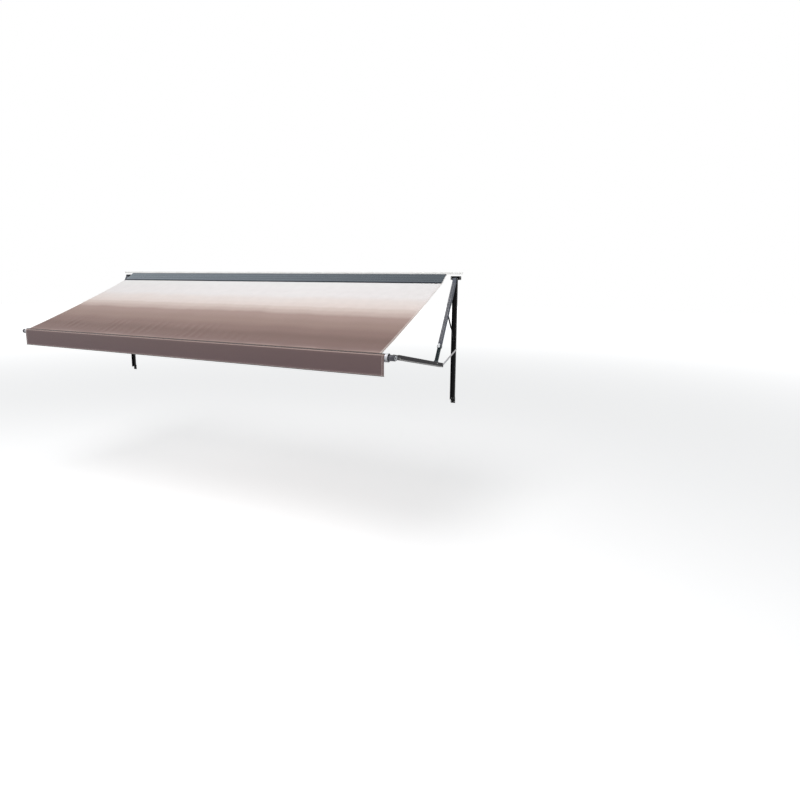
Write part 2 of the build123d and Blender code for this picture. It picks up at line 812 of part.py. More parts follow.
def make_canopy():
    touch = roll_touch_point()
    shield_run, shield_angle = between(bead_point, shield_end)
    canopy_run, canopy_angle = between(shield_end, touch)
    middle = ((shield_end[0] + touch[0]) / 2, (shield_end[1] + touch[1]) / 2)
    sagged = shifted(middle, canopy_angle, -canopy_sag)
    corner_angle = (shield_angle + canopy_angle) / 2
    half = canopy_thickness / 2
    start = step(bead_point, bead_radius + loose_fit, 0, shield_angle)
    top = (
        shifted(start, shield_angle, half),
        shifted(shield_end, corner_angle, half),
        shifted(sagged, canopy_angle, half),
        shifted(touch, canopy_angle, half),
    )
    low = (
        shifted(start, shield_angle, -half),
        shifted(shield_end, corner_angle, -half),
        shifted(sagged, canopy_angle, -half),
        shifted(touch, canopy_angle, -half),
    )
    with BuildPart() as canopy:
        with BuildSketch(Plane(origin=(-fabric_half, 0, 0), x_dir=(0, -1, 0), z_dir=(-1, 0, 0))):
            with BuildLine():
                Line(top[0], top[1])
                ThreePointArc(top[1], top[2], top[3])
                Line(top[3], low[3])
                ThreePointArc(low[3], low[2], low[1])
                Line(low[1], low[0])
                Line(low[0], top[0])
            make_face()
        extrude(amount=-2 * fabric_half)
    save("canopy", canopy.part)
    print("canopy slope length", shield_run + canopy_run)

    with BuildPart() as bead:
        with BuildSketch(side_plane(bead_point, 0, -fabric_half)):
            Circle(bead_radius)
        extrude(amount=2 * fabric_half)
    save("canopy_bead", bead.part)

    # Slats lie on the fabric next to the rail
    with BuildPart() as shield:
        pitch = (shield_run - shield_rail_gap) / shield_slats
        slat_width = pitch - shield_slat_gap
        turn = radians(shield_angle)
        surface = shifted(bead_point, shield_angle, half + loose_fit)
        plane = Plane(
            origin=(0, -surface[0], surface[1]),
            x_dir=(1, 0, 0),
            z_dir=(0, sin(turn), cos(turn)),
        )
        with BuildSketch(plane):
            for slat in range(shield_slats):
                with Locations((0, -(shield_rail_gap + slat * pitch + slat_width / 2))):
                    Rectangle(2 * (fabric_half - shield_end_gap), slat_width)
        extrude(amount=shield_thickness)
    save("weather_shield", shield.part)


def make_valance():
    inner = roll_radius + loose_fit
    outer = inner + canopy_thickness
    start = radians(valance_start_angle)
    hem_out = (inner + outer) / 2
    inner_top = (inner * cos(start), inner * sin(start))
    outer_top = (outer * cos(start), outer * sin(start))
    half_turn = start / 2
    with BuildPart() as valance:
        plane = Plane(
            origin=(-valance_half, -roller_axis[0], roller_axis[1]),
            x_dir=(0, -1, 0),
            z_dir=(-1, 0, 0),
        )
        with BuildSketch(plane):
            with BuildLine():
                Line(outer_top, inner_top)
                inner_middle = (inner * cos(half_turn), inner * sin(half_turn))
                ThreePointArc(inner_top, inner_middle, (inner, 0))
                Line((inner, 0), (inner, -valance_drop))
                Line((inner, -valance_drop), (outer, -valance_drop))
                Line((outer, -valance_drop), (outer, 0))
                outer_middle = (outer * cos(half_turn), outer * sin(half_turn))
                ThreePointArc((outer, 0), outer_middle, outer_top)
            make_face()
            with Locations((hem_out, -valance_drop)):
                Circle(hem_rod_radius + hem_wall)
                Circle(hem_rod_radius + running_fit, mode=Mode.SUBTRACT)
        extrude(amount=-2 * valance_half)
    save("valance", valance.part)
    rod_point = (roller_axis[0] + hem_out, roller_axis[1] - valance_drop)
    with BuildPart() as rod:
        with BuildSketch(side_plane(rod_point, 0, -valance_half)):
            Circle(hem_rod_radius)
        extrude(amount=2 * valance_half)
    save("valance_hem_rod", rod.part)


def make_ring(name, x_from, length, outer, inner):
    with BuildPart() as ring:
        with BuildSketch(pin_plane(roller_axis, x_from)):
            Circle(outer)
            Circle(inner, mode=Mode.SUBTRACT)
        extrude(amount=length)
    save(name, ring.part)


def make_roller_cap(side):
    # A drum that closes the tube's end, with a collar over it and a sleeve in it
    bore = bearing_radius if side > 0 else motor_radius + side_gap
    face = side * tube_half
    with BuildPart() as cap:
        with BuildSketch(pin_plane(roller_axis, face)):
            Circle(roller_cap_radius)
        extrude(amount=side * roller_cap_length)
        rim = cap.edges().sort_by(Axis.X)[-1 if side > 0 else 0]
        fillet(rim, roller_cap_round)
        with BuildSketch(pin_plane(roller_axis, side * (fabric_half + loose_fit))):
            Circle(roller_cap_radius)
            Circle(tube_radius + running_fit, mode=Mode.SUBTRACT)
        extrude(amount=side * (tube_overhang - loose_fit))
        with BuildSketch(pin_plane(roller_axis, face)):
            Circle(tube_radius - tube_wall - running_fit)
        extrude(amount=-side * roller_cap_sleeve)
        with BuildSketch(pin_plane(roller_axis, side * (cap_outer_x + side_gap))):
            Circle(bore)
        through = roller_cap_length + roller_cap_sleeve + cut_overrun
        extrude(amount=-side * through, mode=Mode.SUBTRACT)
    save(sided(side, "roller_cap"), cap.part)


def make_roller():
    make_ring("roller_tube", -tube_half, 2 * tube_half, tube_radius, tube_radius - tube_wall)
    make_ring(
        "fabric_roll", -fabric_half, 2 * fabric_half, roll_radius, tube_radius + running_fit
    )
    make_ring(
        "idler_bearing",
        cap_outer_x - bearing_width,
        bearing_width,
        bearing_radius - running_fit,
        idler_shaft_radius + running_fit,
    )
    inner = tube_radius - tube_wall - running_fit
    crown_x = -tube_half + roller_cap_sleeve + side_gap
    make_ring("motor_crown", crown_x, crown_width, inner, motor_radius + running_fit)


def make_motor():
    # The motor's body stands still in the tube; its shaft turns the drive wheel
    outer_face = -(cap_outer_x + side_gap)
    inner_face = outer_face + motor_length
    with BuildPart() as motor:
        with BuildSketch(pin_plane(roller_axis, outer_face)):
            Circle(motor_radius)
        extrude(amount=motor_length)
        with BuildSketch(pin_plane(roller_axis, inner_face)):
            Circle(motor_shaft_radius + running_fit)
        extrude(amount=-motor_shaft_length, mode=Mode.SUBTRACT)
        # A stub through the arm head holds the motor still
        with BuildSketch(pin_plane(roller_axis, outer_face)):
            Circle(motor_shaft_radius - running_fit)
        extrude(amount=-(arm_x - abs(outer_face)))
    save("tube_motor", motor.part)
    with BuildPart() as wheel:
        with BuildSketch(pin_plane(roller_axis, inner_face + side_gap)):
            Circle(tube_radius - tube_wall - running_fit)
        extrude(amount=drive_wheel_width)
        with BuildSketch(pin_plane(roller_axis, inner_face + side_gap)):
            Circle(motor_shaft_radius)
        extrude(amount=-(motor_shaft_length - side_gap))
    save("drive_wheel", wheel.part)


def make_idler_shaft():
    end = arm_x
    with BuildPart() as shaft:
        with BuildSketch(pin_plane(roller_axis, end)):
            Circle(idler_shaft_radius - running_fit)
        extrude(amount=-(idler_shaft_length + arm_x - cap_outer_x))
        chamfer(shaft.edges().sort_by(Axis.X)[0], side_gap)
    save("idler_shaft", shaft.part)


def make_cable_gland():
    face = -(arm_x + head_half - head_recess_depth)
    with BuildPart() as gland:
        with BuildSketch(pin_plane(roller_axis, face)):
            RegularPolygon(gland_radius, 6)
        extrude(amount=-gland_length / 3)
        with BuildSketch(pin_plane(roller_axis, face)):
            Circle(gland_radius * cos(radians(30)))
        extrude(amount=-gland_length)
        with BuildSketch(pin_plane(roller_axis, face)):
            Circle(gland_bore)
        extrude(amount=-gland_length, mode=Mode.SUBTRACT)
    save("motor_cable_gland", gland.part)


make_awning_rail()
make_rail_end_caps()
make_channel_rivets()
make_wall_pins()
for side in (-1, 1):
    make_wall_channel(side)
    make_top_bracket(side)
    make_foot_bracket(side)
    make_strut_bracket(side)
    make_upper_arm(side)
    make_inner_arm(side)
    make_elbow(side)
    make_pitch_clamp(side)
    make_clamp_knob(side)
    make_lower_arm(side)
    make_arm_head(side)
    make_head_screws(side)
    make_control_link(side)
    make_strut(side)
    make_arm_pins(side)
    make_roller_cap(side)
make_canopy()
make_valance()
make_roller()
make_motor()
make_idler_shaft()
make_cable_gland()
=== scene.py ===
# %% [markdown]
# # A roll out awning, dressed for a studio picture
# The metal frame of this awning comes ready made: rail, wall channels, folding
# arms and roller are loaded as they are, and get their finishes here. What is
# modelled in this file is what is soft or thin: the canopy, its valance, the
# fabric on the roller, the hinged metal shield, and small trim on the arms.

# %% Load the frame
import math

import bpy
from mathutils import Matrix, Vector, noise


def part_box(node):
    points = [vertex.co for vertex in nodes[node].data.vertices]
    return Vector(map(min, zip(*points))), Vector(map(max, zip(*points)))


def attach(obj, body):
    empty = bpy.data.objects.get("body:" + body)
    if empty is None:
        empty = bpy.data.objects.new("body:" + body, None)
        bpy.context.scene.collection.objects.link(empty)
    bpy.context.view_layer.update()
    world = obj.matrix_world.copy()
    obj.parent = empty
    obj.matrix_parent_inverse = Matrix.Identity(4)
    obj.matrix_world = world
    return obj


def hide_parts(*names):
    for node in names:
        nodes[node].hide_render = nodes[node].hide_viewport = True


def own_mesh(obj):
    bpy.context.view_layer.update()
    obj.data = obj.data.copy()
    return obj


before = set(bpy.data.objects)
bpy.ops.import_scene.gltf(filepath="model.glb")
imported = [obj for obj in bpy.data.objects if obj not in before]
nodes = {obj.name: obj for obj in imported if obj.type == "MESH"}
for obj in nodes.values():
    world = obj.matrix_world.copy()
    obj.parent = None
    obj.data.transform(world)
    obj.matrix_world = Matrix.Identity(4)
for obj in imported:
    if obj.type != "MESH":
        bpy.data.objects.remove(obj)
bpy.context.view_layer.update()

# %% [markdown]
# ## Where things are
# Every size below is read from the loaded frame, so that a piece lands on what
# carries it. The rail's bead is where the fabric starts, and the roller's axis is
# where it ends. Only the fold at the shield's end and the slope of the lower arms are
# given as measures.

# %% Places read from the frame
MM = 0.001


def middle(node):
    """Centre of a node's box at rest."""
    low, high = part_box(node)
    return (Vector(low) + Vector(high)) / 2


def half_width(node):
    """Half of a node's size along the wall."""
    low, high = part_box(node)
    return (high[0] - low[0]) / 2


bead = middle("canopy_bead")
roller = middle("roller_tube")
arm_x = middle("right_wall_channel").x
fabric_half = half_width("canopy")
roll_radius = (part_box("fabric_roll")[1][1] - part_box("fabric_roll")[0][1]) / 2
valance_half = half_width("valance")
valance_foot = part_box("valance")[0][2]
shield_half = half_width("weather_shield")
shield_end = Vector((0, -160 * MM, -116 * MM))
shoulder = middle("shoulder_pins")
elbow = middle("right_elbow_pin")
LOWER_ARM_RISE = math.radians(11)
print("roller axis", tuple(round(v, 4) for v in roller), "roll radius", round(roll_radius, 4))

# %% [markdown]
# ## The camera
# The lens, place and tilt were found from straight lines in the photograph. A turn
# about the upright axis comes first, then the tilt down and a slight lean.

# %% Camera
IMAGE_SIDE = 800
FOCAL_PIXELS = 559.9
AXIS_PIXEL_ROW = 370
SENSOR = 36
CAMERA_PLACE = Vector((5.0067, -6.3102, -0.1002))
HEADING = math.radians(25.281)
TILT = math.radians(-9.001)
LEAN = math.radians(-0.555)
turn = Matrix.Rotation(HEADING, 3, "Z") @ Matrix.Rotation(TILT, 3, "X") @ Matrix.Rotation(LEAN, 3, "Y")
right, forward, up = turn.col[0], turn.col[1], turn.col[2]
camera_data = bpy.data.cameras.new("camera")
camera_data.sensor_width = SENSOR
camera_data.lens = FOCAL_PIXELS / IMAGE_SIDE * SENSOR
camera_data.shift_y = (AXIS_PIXEL_ROW - IMAGE_SIDE / 2) / IMAGE_SIDE
camera_data.clip_end = 100
camera = bpy.data.objects.new("camera", camera_data)
bpy.context.scene.collection.objects.link(camera)
camera.matrix_world = Matrix.Translation(CAMERA_PLACE) @ Matrix(
    (
        (right.x, up.x, -forward.x),
        (right.y, up.y, -forward.y),
        (right.z, up.z, -forward.z),
    )
).to_4x4()
bpy.context.scene.camera = camera
print("lens", round(camera_data.lens, 2), "mm")

# %% [markdown]
# ## Colours
# Colours are noted as they look on a screen, from 0 to 255. Shaders work with
# linear light, so each one is converted once, here.


# %% Colour helper
def screen(red, green, blue):
    """A screen colour as the linear colour that a shader wants."""

    def linear(value):
        share = value / 255
        return share / 12.92 if share <= 0.04045 else ((share + 0.055) / 1.055) ** 2.4

    return (linear(red), linear(green), linear(blue), 1)


print("mid grey", tuple(round(v, 3) for v in screen(128, 128, 128)))

# %% [markdown]
# ## Helpers for shaders
# A shader is a tree of nodes. Each helper adds one node and gives back its result, so
# that the recipes below stay short.

# %% Shader helpers
# A Mix node has its colours behind its number and vector sockets
MIX_SHARE, MIX_FIRST, MIX_SECOND = 0, 6, 7
MIX_RESULT = 2
print("node groups so far", len(bpy.data.node_groups))


def feed(tree, socket, value):
    """Give a socket a fixed value, or link it to the socket that is given."""
    if isinstance(value, bpy.types.NodeSocket):
        tree.links.new(value, socket)
    else:
        socket.default_value = value


def calculate(tree, operation, *values):
    """A Math node. Each value is a number or the socket that it comes from."""
    node = tree.nodes.new("ShaderNodeMath")
    node.operation = operation
    for place, value in enumerate(values):
        feed(tree, node.inputs[place], value)
    return node.outputs[0]


def mix_colours(tree, share, first, second, blend="MIX"):
    """A colour mix. Each colour is a value or the socket that it comes from."""
    node = tree.nodes.new("ShaderNodeMix")
    node.data_type = "RGBA"
    node.blend_type = blend
    for place, value in ((MIX_SHARE, share), (MIX_FIRST, first), (MIX_SECOND, second)):
        feed(tree, node.inputs[place], value)
    return node.outputs[MIX_RESULT]


def add_noise(tree, vector, scale, detail):
    """A noise texture's value, from 0 to 1."""
    node = tree.nodes.new("ShaderNodeTexNoise")
    feed(tree, node.inputs["Vector"], vector)
    feed(tree, node.inputs["Scale"], scale)
    feed(tree, node.inputs["Detail"], detail)
    return node.outputs[0]


def vector_step(tree, operation, *vectors):
    """A Vector Math node. Only the length of a vector comes out as a number."""
    node = tree.nodes.new("ShaderNodeVectorMath")
    node.operation = operation
    for place, vector in enumerate(vectors):
        feed(tree, node.inputs[place], vector)
    return node.outputs["Value" if operation == "LENGTH" else "Vector"]


# %% [markdown]
# ## Floor, backdrop and light
# The awning hangs about three metres above the ground, so the floor lies there. The
# world is white for the camera and for reflections, and a softer white as light.

# %% Floor and light
FLOOR_Z = -3.05
FLOOR_SIZE = 120
ROOM_LIGHT = 0.36
FADE_STARTS = 3
FADE_ENDS = 38
NEAR_GLOW = 0.42
LAMPS = (
    ("sky_lamp", (1.5, -5.5, 6.5), (0, -0.9, -0.4), 5, 350),
    ("front_lamp", (6, -7, 1.5), (0.5, -1, -0.6), 4, 105),
    ("back_lamp", (-6, -5, 2.5), (-1, -1, -0.6), 4, 95),
)
scene = bpy.context.scene
scene.view_settings.view_transform = "Standard"


def deselect():
    """Nothing stays selected, so that an operator acts on its own piece only."""
    if bpy.context.object and bpy.context.object.mode == "EDIT":
        bpy.ops.object.mode_set(mode="OBJECT")
    bpy.ops.object.select_all(action="DESELECT")


def seen_white(tree, strength_for_light, colour):
    """White where the camera, a mirror or a pane sees it, and soft as a lamp."""
    rays = tree.nodes.new("ShaderNodeLightPath")
    seen = calculate(tree, "MAXIMUM", rays.outputs["Is Camera Ray"], rays.outputs["Is Glossy Ray"])
    through = calculate(tree, "MAXIMUM", seen, rays.outputs["Is Transmission Ray"])
    lamp = tree.nodes.new("ShaderNodeBackground")
    lamp.inputs["Color"].default_value = colour
    lamp.inputs["Strength"].default_value = strength_for_light
    white = tree.nodes.new("ShaderNodeBackground")
    white.inputs["Color"].default_value = (1, 1, 1, 1)
    mix = tree.nodes.new("ShaderNodeMixShader")
    tree.links.new(through, mix.inputs[0])
    tree.links.new(lamp.outputs[0], mix.inputs[1])
    tree.links.new(white.outputs[0], mix.inputs[2])
    return mix


world = bpy.data.worlds.new("white_room")
world.use_nodes = True
world.node_tree.nodes.clear()
world_out = world.node_tree.nodes.new("ShaderNodeOutputWorld")
room = seen_white(world.node_tree, ROOM_LIGHT, (0.96, 0.98, 1, 1))
world.node_tree.links.new(room.outputs[0], world_out.inputs["Surface"])
scene.world = world

deselect()
bpy.ops.mesh.primitive_plane_add(size=FLOOR_SIZE, location=(0, 0, FLOOR_Z))
floor = bpy.context.object
floor.name = "floor"
floor_material = bpy.data.materials.new("pale_floor")
floor_material.use_nodes = True
floor_tree = floor_material.node_tree
floor_shader = floor_tree.nodes["Principled BSDF"]
floor_shader.inputs["Base Color"].default_value = (0.9, 0.9, 0.9, 1)
floor_shader.inputs["Roughness"].default_value = 0.95
floor_shader.inputs["Specular IOR Level"].default_value = 0
floor_shader.inputs["Emission Color"].default_value = (1, 1, 1, 1)
# The floor gets lighter away from the awning, and meets the white room with no edge
floor_place = floor_tree.nodes.new("ShaderNodeTexCoord").outputs["Object"]
floor_fade = floor_tree.nodes.new("ShaderNodeMapRange")
floor_fade.interpolation_type = "SMOOTHSTEP"
floor_fade.inputs["From Min"].default_value = FADE_STARTS
floor_fade.inputs["From Max"].default_value = FADE_ENDS
floor_fade.inputs["To Min"].default_value = NEAR_GLOW
floor_fade.inputs["To Max"].default_value = 1
floor_tree.links.new(vector_step(floor_tree, "LENGTH", floor_place), floor_fade.inputs["Value"])
floor_tree.links.new(floor_fade.outputs[0], floor_shader.inputs["Emission Strength"])
floor.data.materials.append(floor_material)


def add_lamp(name, place, target, size, watts):
    """A large soft lamp that points at a place on the awning."""
    data = bpy.data.lights.new(name, "AREA")
    data.shape = "DISK"
    data.size = size
    data.energy = watts
    lamp = bpy.data.objects.new(name, data)
    scene.collection.objects.link(lamp)
    lamp.location = place
    lamp.rotation_euler = (Vector(target) - Vector(place)).to_track_quat("-Z", "Y").to_euler()


for lamp_values in LAMPS:
    add_lamp(*lamp_values)

# %% [markdown]
# ## Shared surface effects
# No painted part is one even colour. One node group mottles a colour, varies how
# rough it is and gives a fine relief. Another draws a plain weave, and a third draws
# a row of stitches. Each is made once and used by many materials.

# %% Mottled finish
CLOUD_LOW = 0.38
CLOUD_HIGH = 0.68
SMEARS_FINER = 7
GRIT_FINER = 90


def make_group(name, inputs, outputs):
    """A shader group with named sockets, its two end nodes included."""
    tree = bpy.data.node_groups.new(name, "ShaderNodeTree")
    for label, kind, value in inputs:
        socket = tree.interface.new_socket(name=label, in_out="INPUT", socket_type=kind)
        if value is not None:
            socket.default_value = value
    for label, kind in outputs:
        tree.interface.new_socket(name=label, in_out="OUTPUT", socket_type=kind)
    return tree, tree.nodes.new("NodeGroupInput"), tree.nodes.new("NodeGroupOutput")


finish_group, finish_in, finish_out = make_group(
    "mottled_finish",
    [
        ("Vector", "NodeSocketVector", None),
        ("Color", "NodeSocketColor", (0.5, 0.5, 0.5, 1)),
        ("Worn Color", "NodeSocketColor", (0.6, 0.6, 0.6, 1)),
        ("Scale", "NodeSocketFloat", 6),
        ("Amount", "NodeSocketFloat", 0.4),
        ("Roughness", "NodeSocketFloat", 0.4),
        ("Roughness Range", "NodeSocketFloat", 0.15),
    ],
    [
        ("Color", "NodeSocketColor"),
        ("Roughness", "NodeSocketFloat"),
        ("Height", "NodeSocketFloat"),
    ],
)
clouds = add_noise(finish_group, finish_in.outputs["Vector"], finish_in.outputs["Scale"], 6)
spread = finish_group.nodes.new("ShaderNodeMapRange")
spread.inputs["From Min"].default_value = CLOUD_LOW
spread.inputs["From Max"].default_value = CLOUD_HIGH
finish_group.links.new(clouds, spread.inputs["Value"])
worn_share = calculate(finish_group, "MULTIPLY", spread.outputs[0], finish_in.outputs["Amount"])
worn = mix_colours(
    finish_group, worn_share, finish_in.outputs["Color"], finish_in.outputs["Worn Color"]
)
finer_scale = calculate(finish_group, "MULTIPLY", finish_in.outputs["Scale"], SMEARS_FINER)
smears = add_noise(finish_group, finish_in.outputs["Vector"], finer_scale, 3)
centred = calculate(finish_group, "SUBTRACT", smears, 0.5)
change = calculate(finish_group, "MULTIPLY", centred, finish_in.outputs["Roughness Range"])
rough = calculate(finish_group, "ADD", finish_in.outputs["Roughness"], change)
grit_scale = calculate(finish_group, "MULTIPLY", finish_in.outputs["Scale"], GRIT_FINER)
grit = add_noise(finish_group, finish_in.outputs["Vector"], grit_scale, 2)
finish_group.links.new(worn, finish_out.inputs["Color"])
finish_group.links.new(rough, finish_out.inputs["Roughness"])
finish_group.links.new(grit, finish_out.inputs["Height"])
print("group", finish_group.name, "nodes", len(finish_group.nodes))

# %% Plain weave
SLUB_SCALE = 160
weave_group, weave_in, weave_out = make_group(
    "plain_weave",
    [
        ("Vector", "NodeSocketVector", None),
        ("Threads per Metre", "NodeSocketFloat", 700),
    ],
    [("Height", "NodeSocketFloat"), ("Shade", "NodeSocketFloat")],
)
axes = weave_group.nodes.new("ShaderNodeSeparateXYZ")
weave_group.links.new(weave_in.outputs["Vector"], axes.inputs[0])
pace = calculate(weave_group, "MULTIPLY", weave_in.outputs["Threads per Metre"], math.pi)
warp = calculate(weave_group, "SINE", calculate(weave_group, "MULTIPLY", axes.outputs[0], pace))
weft = calculate(weave_group, "SINE", calculate(weave_group, "MULTIPLY", axes.outputs[1], pace))
crossing = calculate(weave_group, "MULTIPLY", warp, weft)
relief = calculate(weave_group, "MULTIPLY_ADD", crossing, 0.5, 0.5)
slubs = add_noise(weave_group, weave_in.outputs["Vector"], SLUB_SCALE, 3)
weave_group.links.new(relief, weave_out.inputs["Height"])
weave_group.links.new(slubs, weave_out.inputs["Shade"])
print("group", weave_group.name, "nodes", len(weave_group.nodes))

# %% Row of stitches
STITCHED_SHARE = 0.72
stitch_group, stitch_in, stitch_out = make_group(
    "stitch_row",
    [
        ("Along", "NodeSocketFloat", 0),
        ("Across", "NodeSocketFloat", 0),
        ("Row", "NodeSocketFloat", 0),
        ("Stitch", "NodeSocketFloat", 0.006),
        ("Thread", "NodeSocketFloat", 0.0012),
    ],
    [("Mask", "NodeSocketFloat")],
)
off_row = calculate(stitch_group, "SUBTRACT", stitch_in.outputs["Across"], stitch_in.outputs["Row"])
near_row = calculate(
    stitch_group, "LESS_THAN", calculate(stitch_group, "ABSOLUTE", off_row), stitch_in.outputs["Thread"]
)
beat = calculate(stitch_group, "DIVIDE", stitch_in.outputs["Along"], stitch_in.outputs["Stitch"])
through_stitch = calculate(stitch_group, "FRACT", beat)
dash = calculate(stitch_group, "LESS_THAN", through_stitch, STITCHED_SHARE)
stitch_group.links.new(calculate(stitch_group, "MULTIPLY", near_row, dash), stitch_out.inputs["Mask"])
print("group", stitch_group.name, "nodes", len(stitch_group.nodes))

# %% [markdown]
# ## Painted and plain metal
# All hard finishes are one recipe with other values: a mottled colour on the
# shader, its own roughness, and a very fine relief. Extruded parts are drawn out
# along their length, so their mottling is stretched the same way by a Mapping node.


# %% Hard finishes
FINE_RELIEF = 0.4 * MM
COAT_ROUGHNESS = 0.15


def hard_material(name, colour, worn_colour, roughness, metallic=0, stretch=(1, 1, 1), **looks):
    """A metal or plastic finish on Object coordinates, so it stays put on its part."""
    material = bpy.data.materials.new(name)
    material.use_nodes = True
    tree = material.node_tree
    shader = tree.nodes["Principled BSDF"]
    place = tree.nodes.new("ShaderNodeTexCoord")
    mapping = tree.nodes.new("ShaderNodeMapping")
    mapping.inputs["Scale"].default_value = stretch
    tree.links.new(place.outputs["Object"], mapping.inputs["Vector"])
    group = tree.nodes.new("ShaderNodeGroup")
    group.node_tree = finish_group
    tree.links.new(mapping.outputs[0], group.inputs["Vector"])
    group.inputs["Color"].default_value = colour
    group.inputs["Worn Color"].default_value = worn_colour
    group.inputs["Scale"].default_value = looks.get("scale", 7)
    group.inputs["Amount"].default_value = looks.get("amount", 0.45)
    group.inputs["Roughness"].default_value = roughness
    group.inputs["Roughness Range"].default_value = looks.get("roughness_range", 0.2)
    bump = tree.nodes.new("ShaderNodeBump")
    bump.inputs["Strength"].default_value = looks.get("relief", 0.12)
    bump.inputs["Distance"].default_value = FINE_RELIEF
    tree.links.new(group.outputs["Height"], bump.inputs["Height"])
    tree.links.new(bump.outputs[0], shader.inputs["Normal"])
    tree.links.new(group.outputs["Color"], shader.inputs["Base Color"])
    tree.links.new(group.outputs["Roughness"], shader.inputs["Roughness"])
    shader.inputs["Metallic"].default_value = metallic
    shader.inputs["Coat Weight"].default_value = looks.get("coat", 0)
    shader.inputs["Specular IOR Level"].default_value = looks.get("specular", 0.5)
    shader.inputs["Coat Roughness"].default_value = COAT_ROUGHNESS
    return material


white_enamel = hard_material(
    "white_rail_enamel", screen(236, 236, 234), screen(212, 210, 204), 0.32, coat=0.3
)
black_powder = hard_material(
    "black_channel_powder",
    screen(14, 14, 16),
    screen(26, 26, 28),
    0.5,
    stretch=(1, 1, 0.15),
    specular=0.12,
)
slate_arm = hard_material(
    "slate_upper_arm", screen(76, 80, 89), screen(98, 102, 112), 0.5, scale=3, specular=0.2
)
teal_arm = hard_material(
    "dark_inner_arm", screen(26, 38, 40), screen(40, 52, 54), 0.5, scale=3, specular=0.15
)
charcoal_arm = hard_material(
    "charcoal_lower_arm", screen(40, 37, 39), screen(52, 49, 56), 0.5, scale=3, specular=0.1
)
# Painted highlight: the ribs' pale finish draws the bright lines along the dark arms.
rib_highlight_metal = hard_material(
    "rib_painted_highlight", screen(134, 131, 130), screen(164, 162, 160), 0.35, 0.3, scale=9
)
dark_casting = hard_material(
    "dark_elbow_casting", screen(42, 52, 56), screen(66, 74, 78), 0.5, scale=18, relief=0.35
)
head_casting = hard_material(
    "grey_head_casting", screen(54, 54, 60), screen(92, 92, 100), 0.3, 0.4, scale=26, relief=0.3
)
lever_enamel = hard_material(
    "bright_lever_enamel", screen(226, 230, 234), screen(196, 200, 204), 0.25, coat=0.5, scale=20
)
bright_metal = hard_material(
    "bright_link_metal", screen(176, 174, 176), screen(140, 138, 142), 0.28, 0.5, (1, 0.4, 2)
)
plain_steel = hard_material(
    "zinc_plated_steel", screen(170, 170, 168), screen(128, 126, 120), 0.35, 0.8, scale=30
)
shield_metal = hard_material(
    "slate_shield_metal", screen(104, 115, 124), screen(114, 125, 134), 0.4, 0.1, (0.12, 2, 2)
)
shield_edge = hard_material(
    "dark_shield_edge",
    screen(18, 24, 34),
    screen(28, 34, 44),
    0.55,
    stretch=(0.12, 2, 2),
    specular=0.1,
)
grey_cap = hard_material(
    "pale_roller_cap", screen(228, 228, 233), screen(186, 186, 192), 0.25, 0.4, coat=0.3, scale=12
)
tube_metal = hard_material(
    "drawn_tube_metal", screen(188, 190, 194), screen(150, 152, 156), 0.3, 0.9, (0.1, 1, 1)
)
black_plastic = hard_material(
    "black_moulded_plastic", screen(22, 22, 24), screen(36, 36, 38), 0.5, scale=25, relief=0.4
)
strut_enamel = hard_material(
    "gloss_strut_enamel", screen(10, 10, 11), screen(22, 22, 24), 0.3, scale=14, specular=0.2
)
nitrided_rod = hard_material(
    "nitrided_strut_rod", screen(52, 53, 56), screen(40, 41, 44), 0.25, 1, scale=14, relief=0.03
)
print("hard finishes", len([m for m in bpy.data.materials if m.use_nodes]))

# %% [markdown]
# ## Painted zones
# Some parts change colour from place to place, most of them by painted shade. A zone is a small
# function that gives 0 or 1, or a value between, for a place on the part. Its colour is mixed over the
# finish by that value. Zones that need the shield's slope are painted with the slats.

# %% Zones of the caps, heads and shield
CAP_FACE_DEPTH = 0.5 * MM
RECESS_RADIUS = 12.2 * MM
cap_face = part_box("right_roller_cap")[1][0]


def paint_zone(material, tone, zone):
    """Another colour by the share that zone(tree, place) gives at the part's own place."""
    tree = material.node_tree
    base = tree.nodes["Principled BSDF"].inputs["Base Color"]
    source = base.links[0].from_socket
    place = tree.nodes.new("ShaderNodeTexCoord").outputs["Object"]
    tree.links.new(mix_colours(tree, zone(tree, place), source, tone), base)


def along_axis(tree, place, axis):
    """One of a place's three values: 0 along the wall, 1 away from it, 2 up."""
    axes = tree.nodes.new("ShaderNodeSeparateXYZ")
    tree.links.new(place, axes.inputs[0])
    return axes.outputs[axis]


def past_cap_face(tree, place):
    """The flat outer faces of the two caps."""
    from_middle = calculate(tree, "ABSOLUTE", along_axis(tree, place, 0))
    return calculate(tree, "GREATER_THAN", from_middle, cap_face - CAP_FACE_DEPTH)


def recess_painted_shade(tree, place):
    """The round recess in the heads, about the roller's axis, which takes painted shade."""
    offset = vector_step(tree, "SUBTRACT", place, roller)
    beside_axis = vector_step(tree, "MULTIPLY", offset, (0, 1, 1))
    distance = vector_step(tree, "LENGTH", beside_axis)
    return calculate(tree, "LESS_THAN", distance, RECESS_RADIUS)


def right_end_painted_shade(tree, place):
    """Rises evenly from 0 at the shield's left end to 1 at its right end, for painted shade."""
    share = calculate(tree, "DIVIDE", along_axis(tree, place, 0), 2 * shield_half)
    return calculate(tree, "ADD", share, 0.5)


def underside_painted_shade(tree, place):
    """Rises evenly from 0 at the top of the roll to 1 at its underside, for painted shade."""
    drop = calculate(tree, "SUBTRACT", roller.z, along_axis(tree, place, 2))
    share = calculate(tree, "DIVIDE", drop, 2 * roll_radius)
    return calculate(tree, "ADD", share, 0.5)


def beside_rail(tree, place):
    """The shield's upper edge, which lies in the rail's shade."""
    return calculate(tree, "GREATER_THAN", along_axis(tree, place, 1), shade_end.y)


# Painted shade: each cap darkens towards its underside.
paint_zone(grey_cap, screen(74, 74, 80), underside_painted_shade)
paint_zone(grey_cap, screen(24, 24, 28), past_cap_face)
# Painted shade: the heads' recess is near black.
paint_zone(head_casting, screen(16, 16, 18), recess_painted_shade)
print("cap face at", round(cap_face, 4), "m")


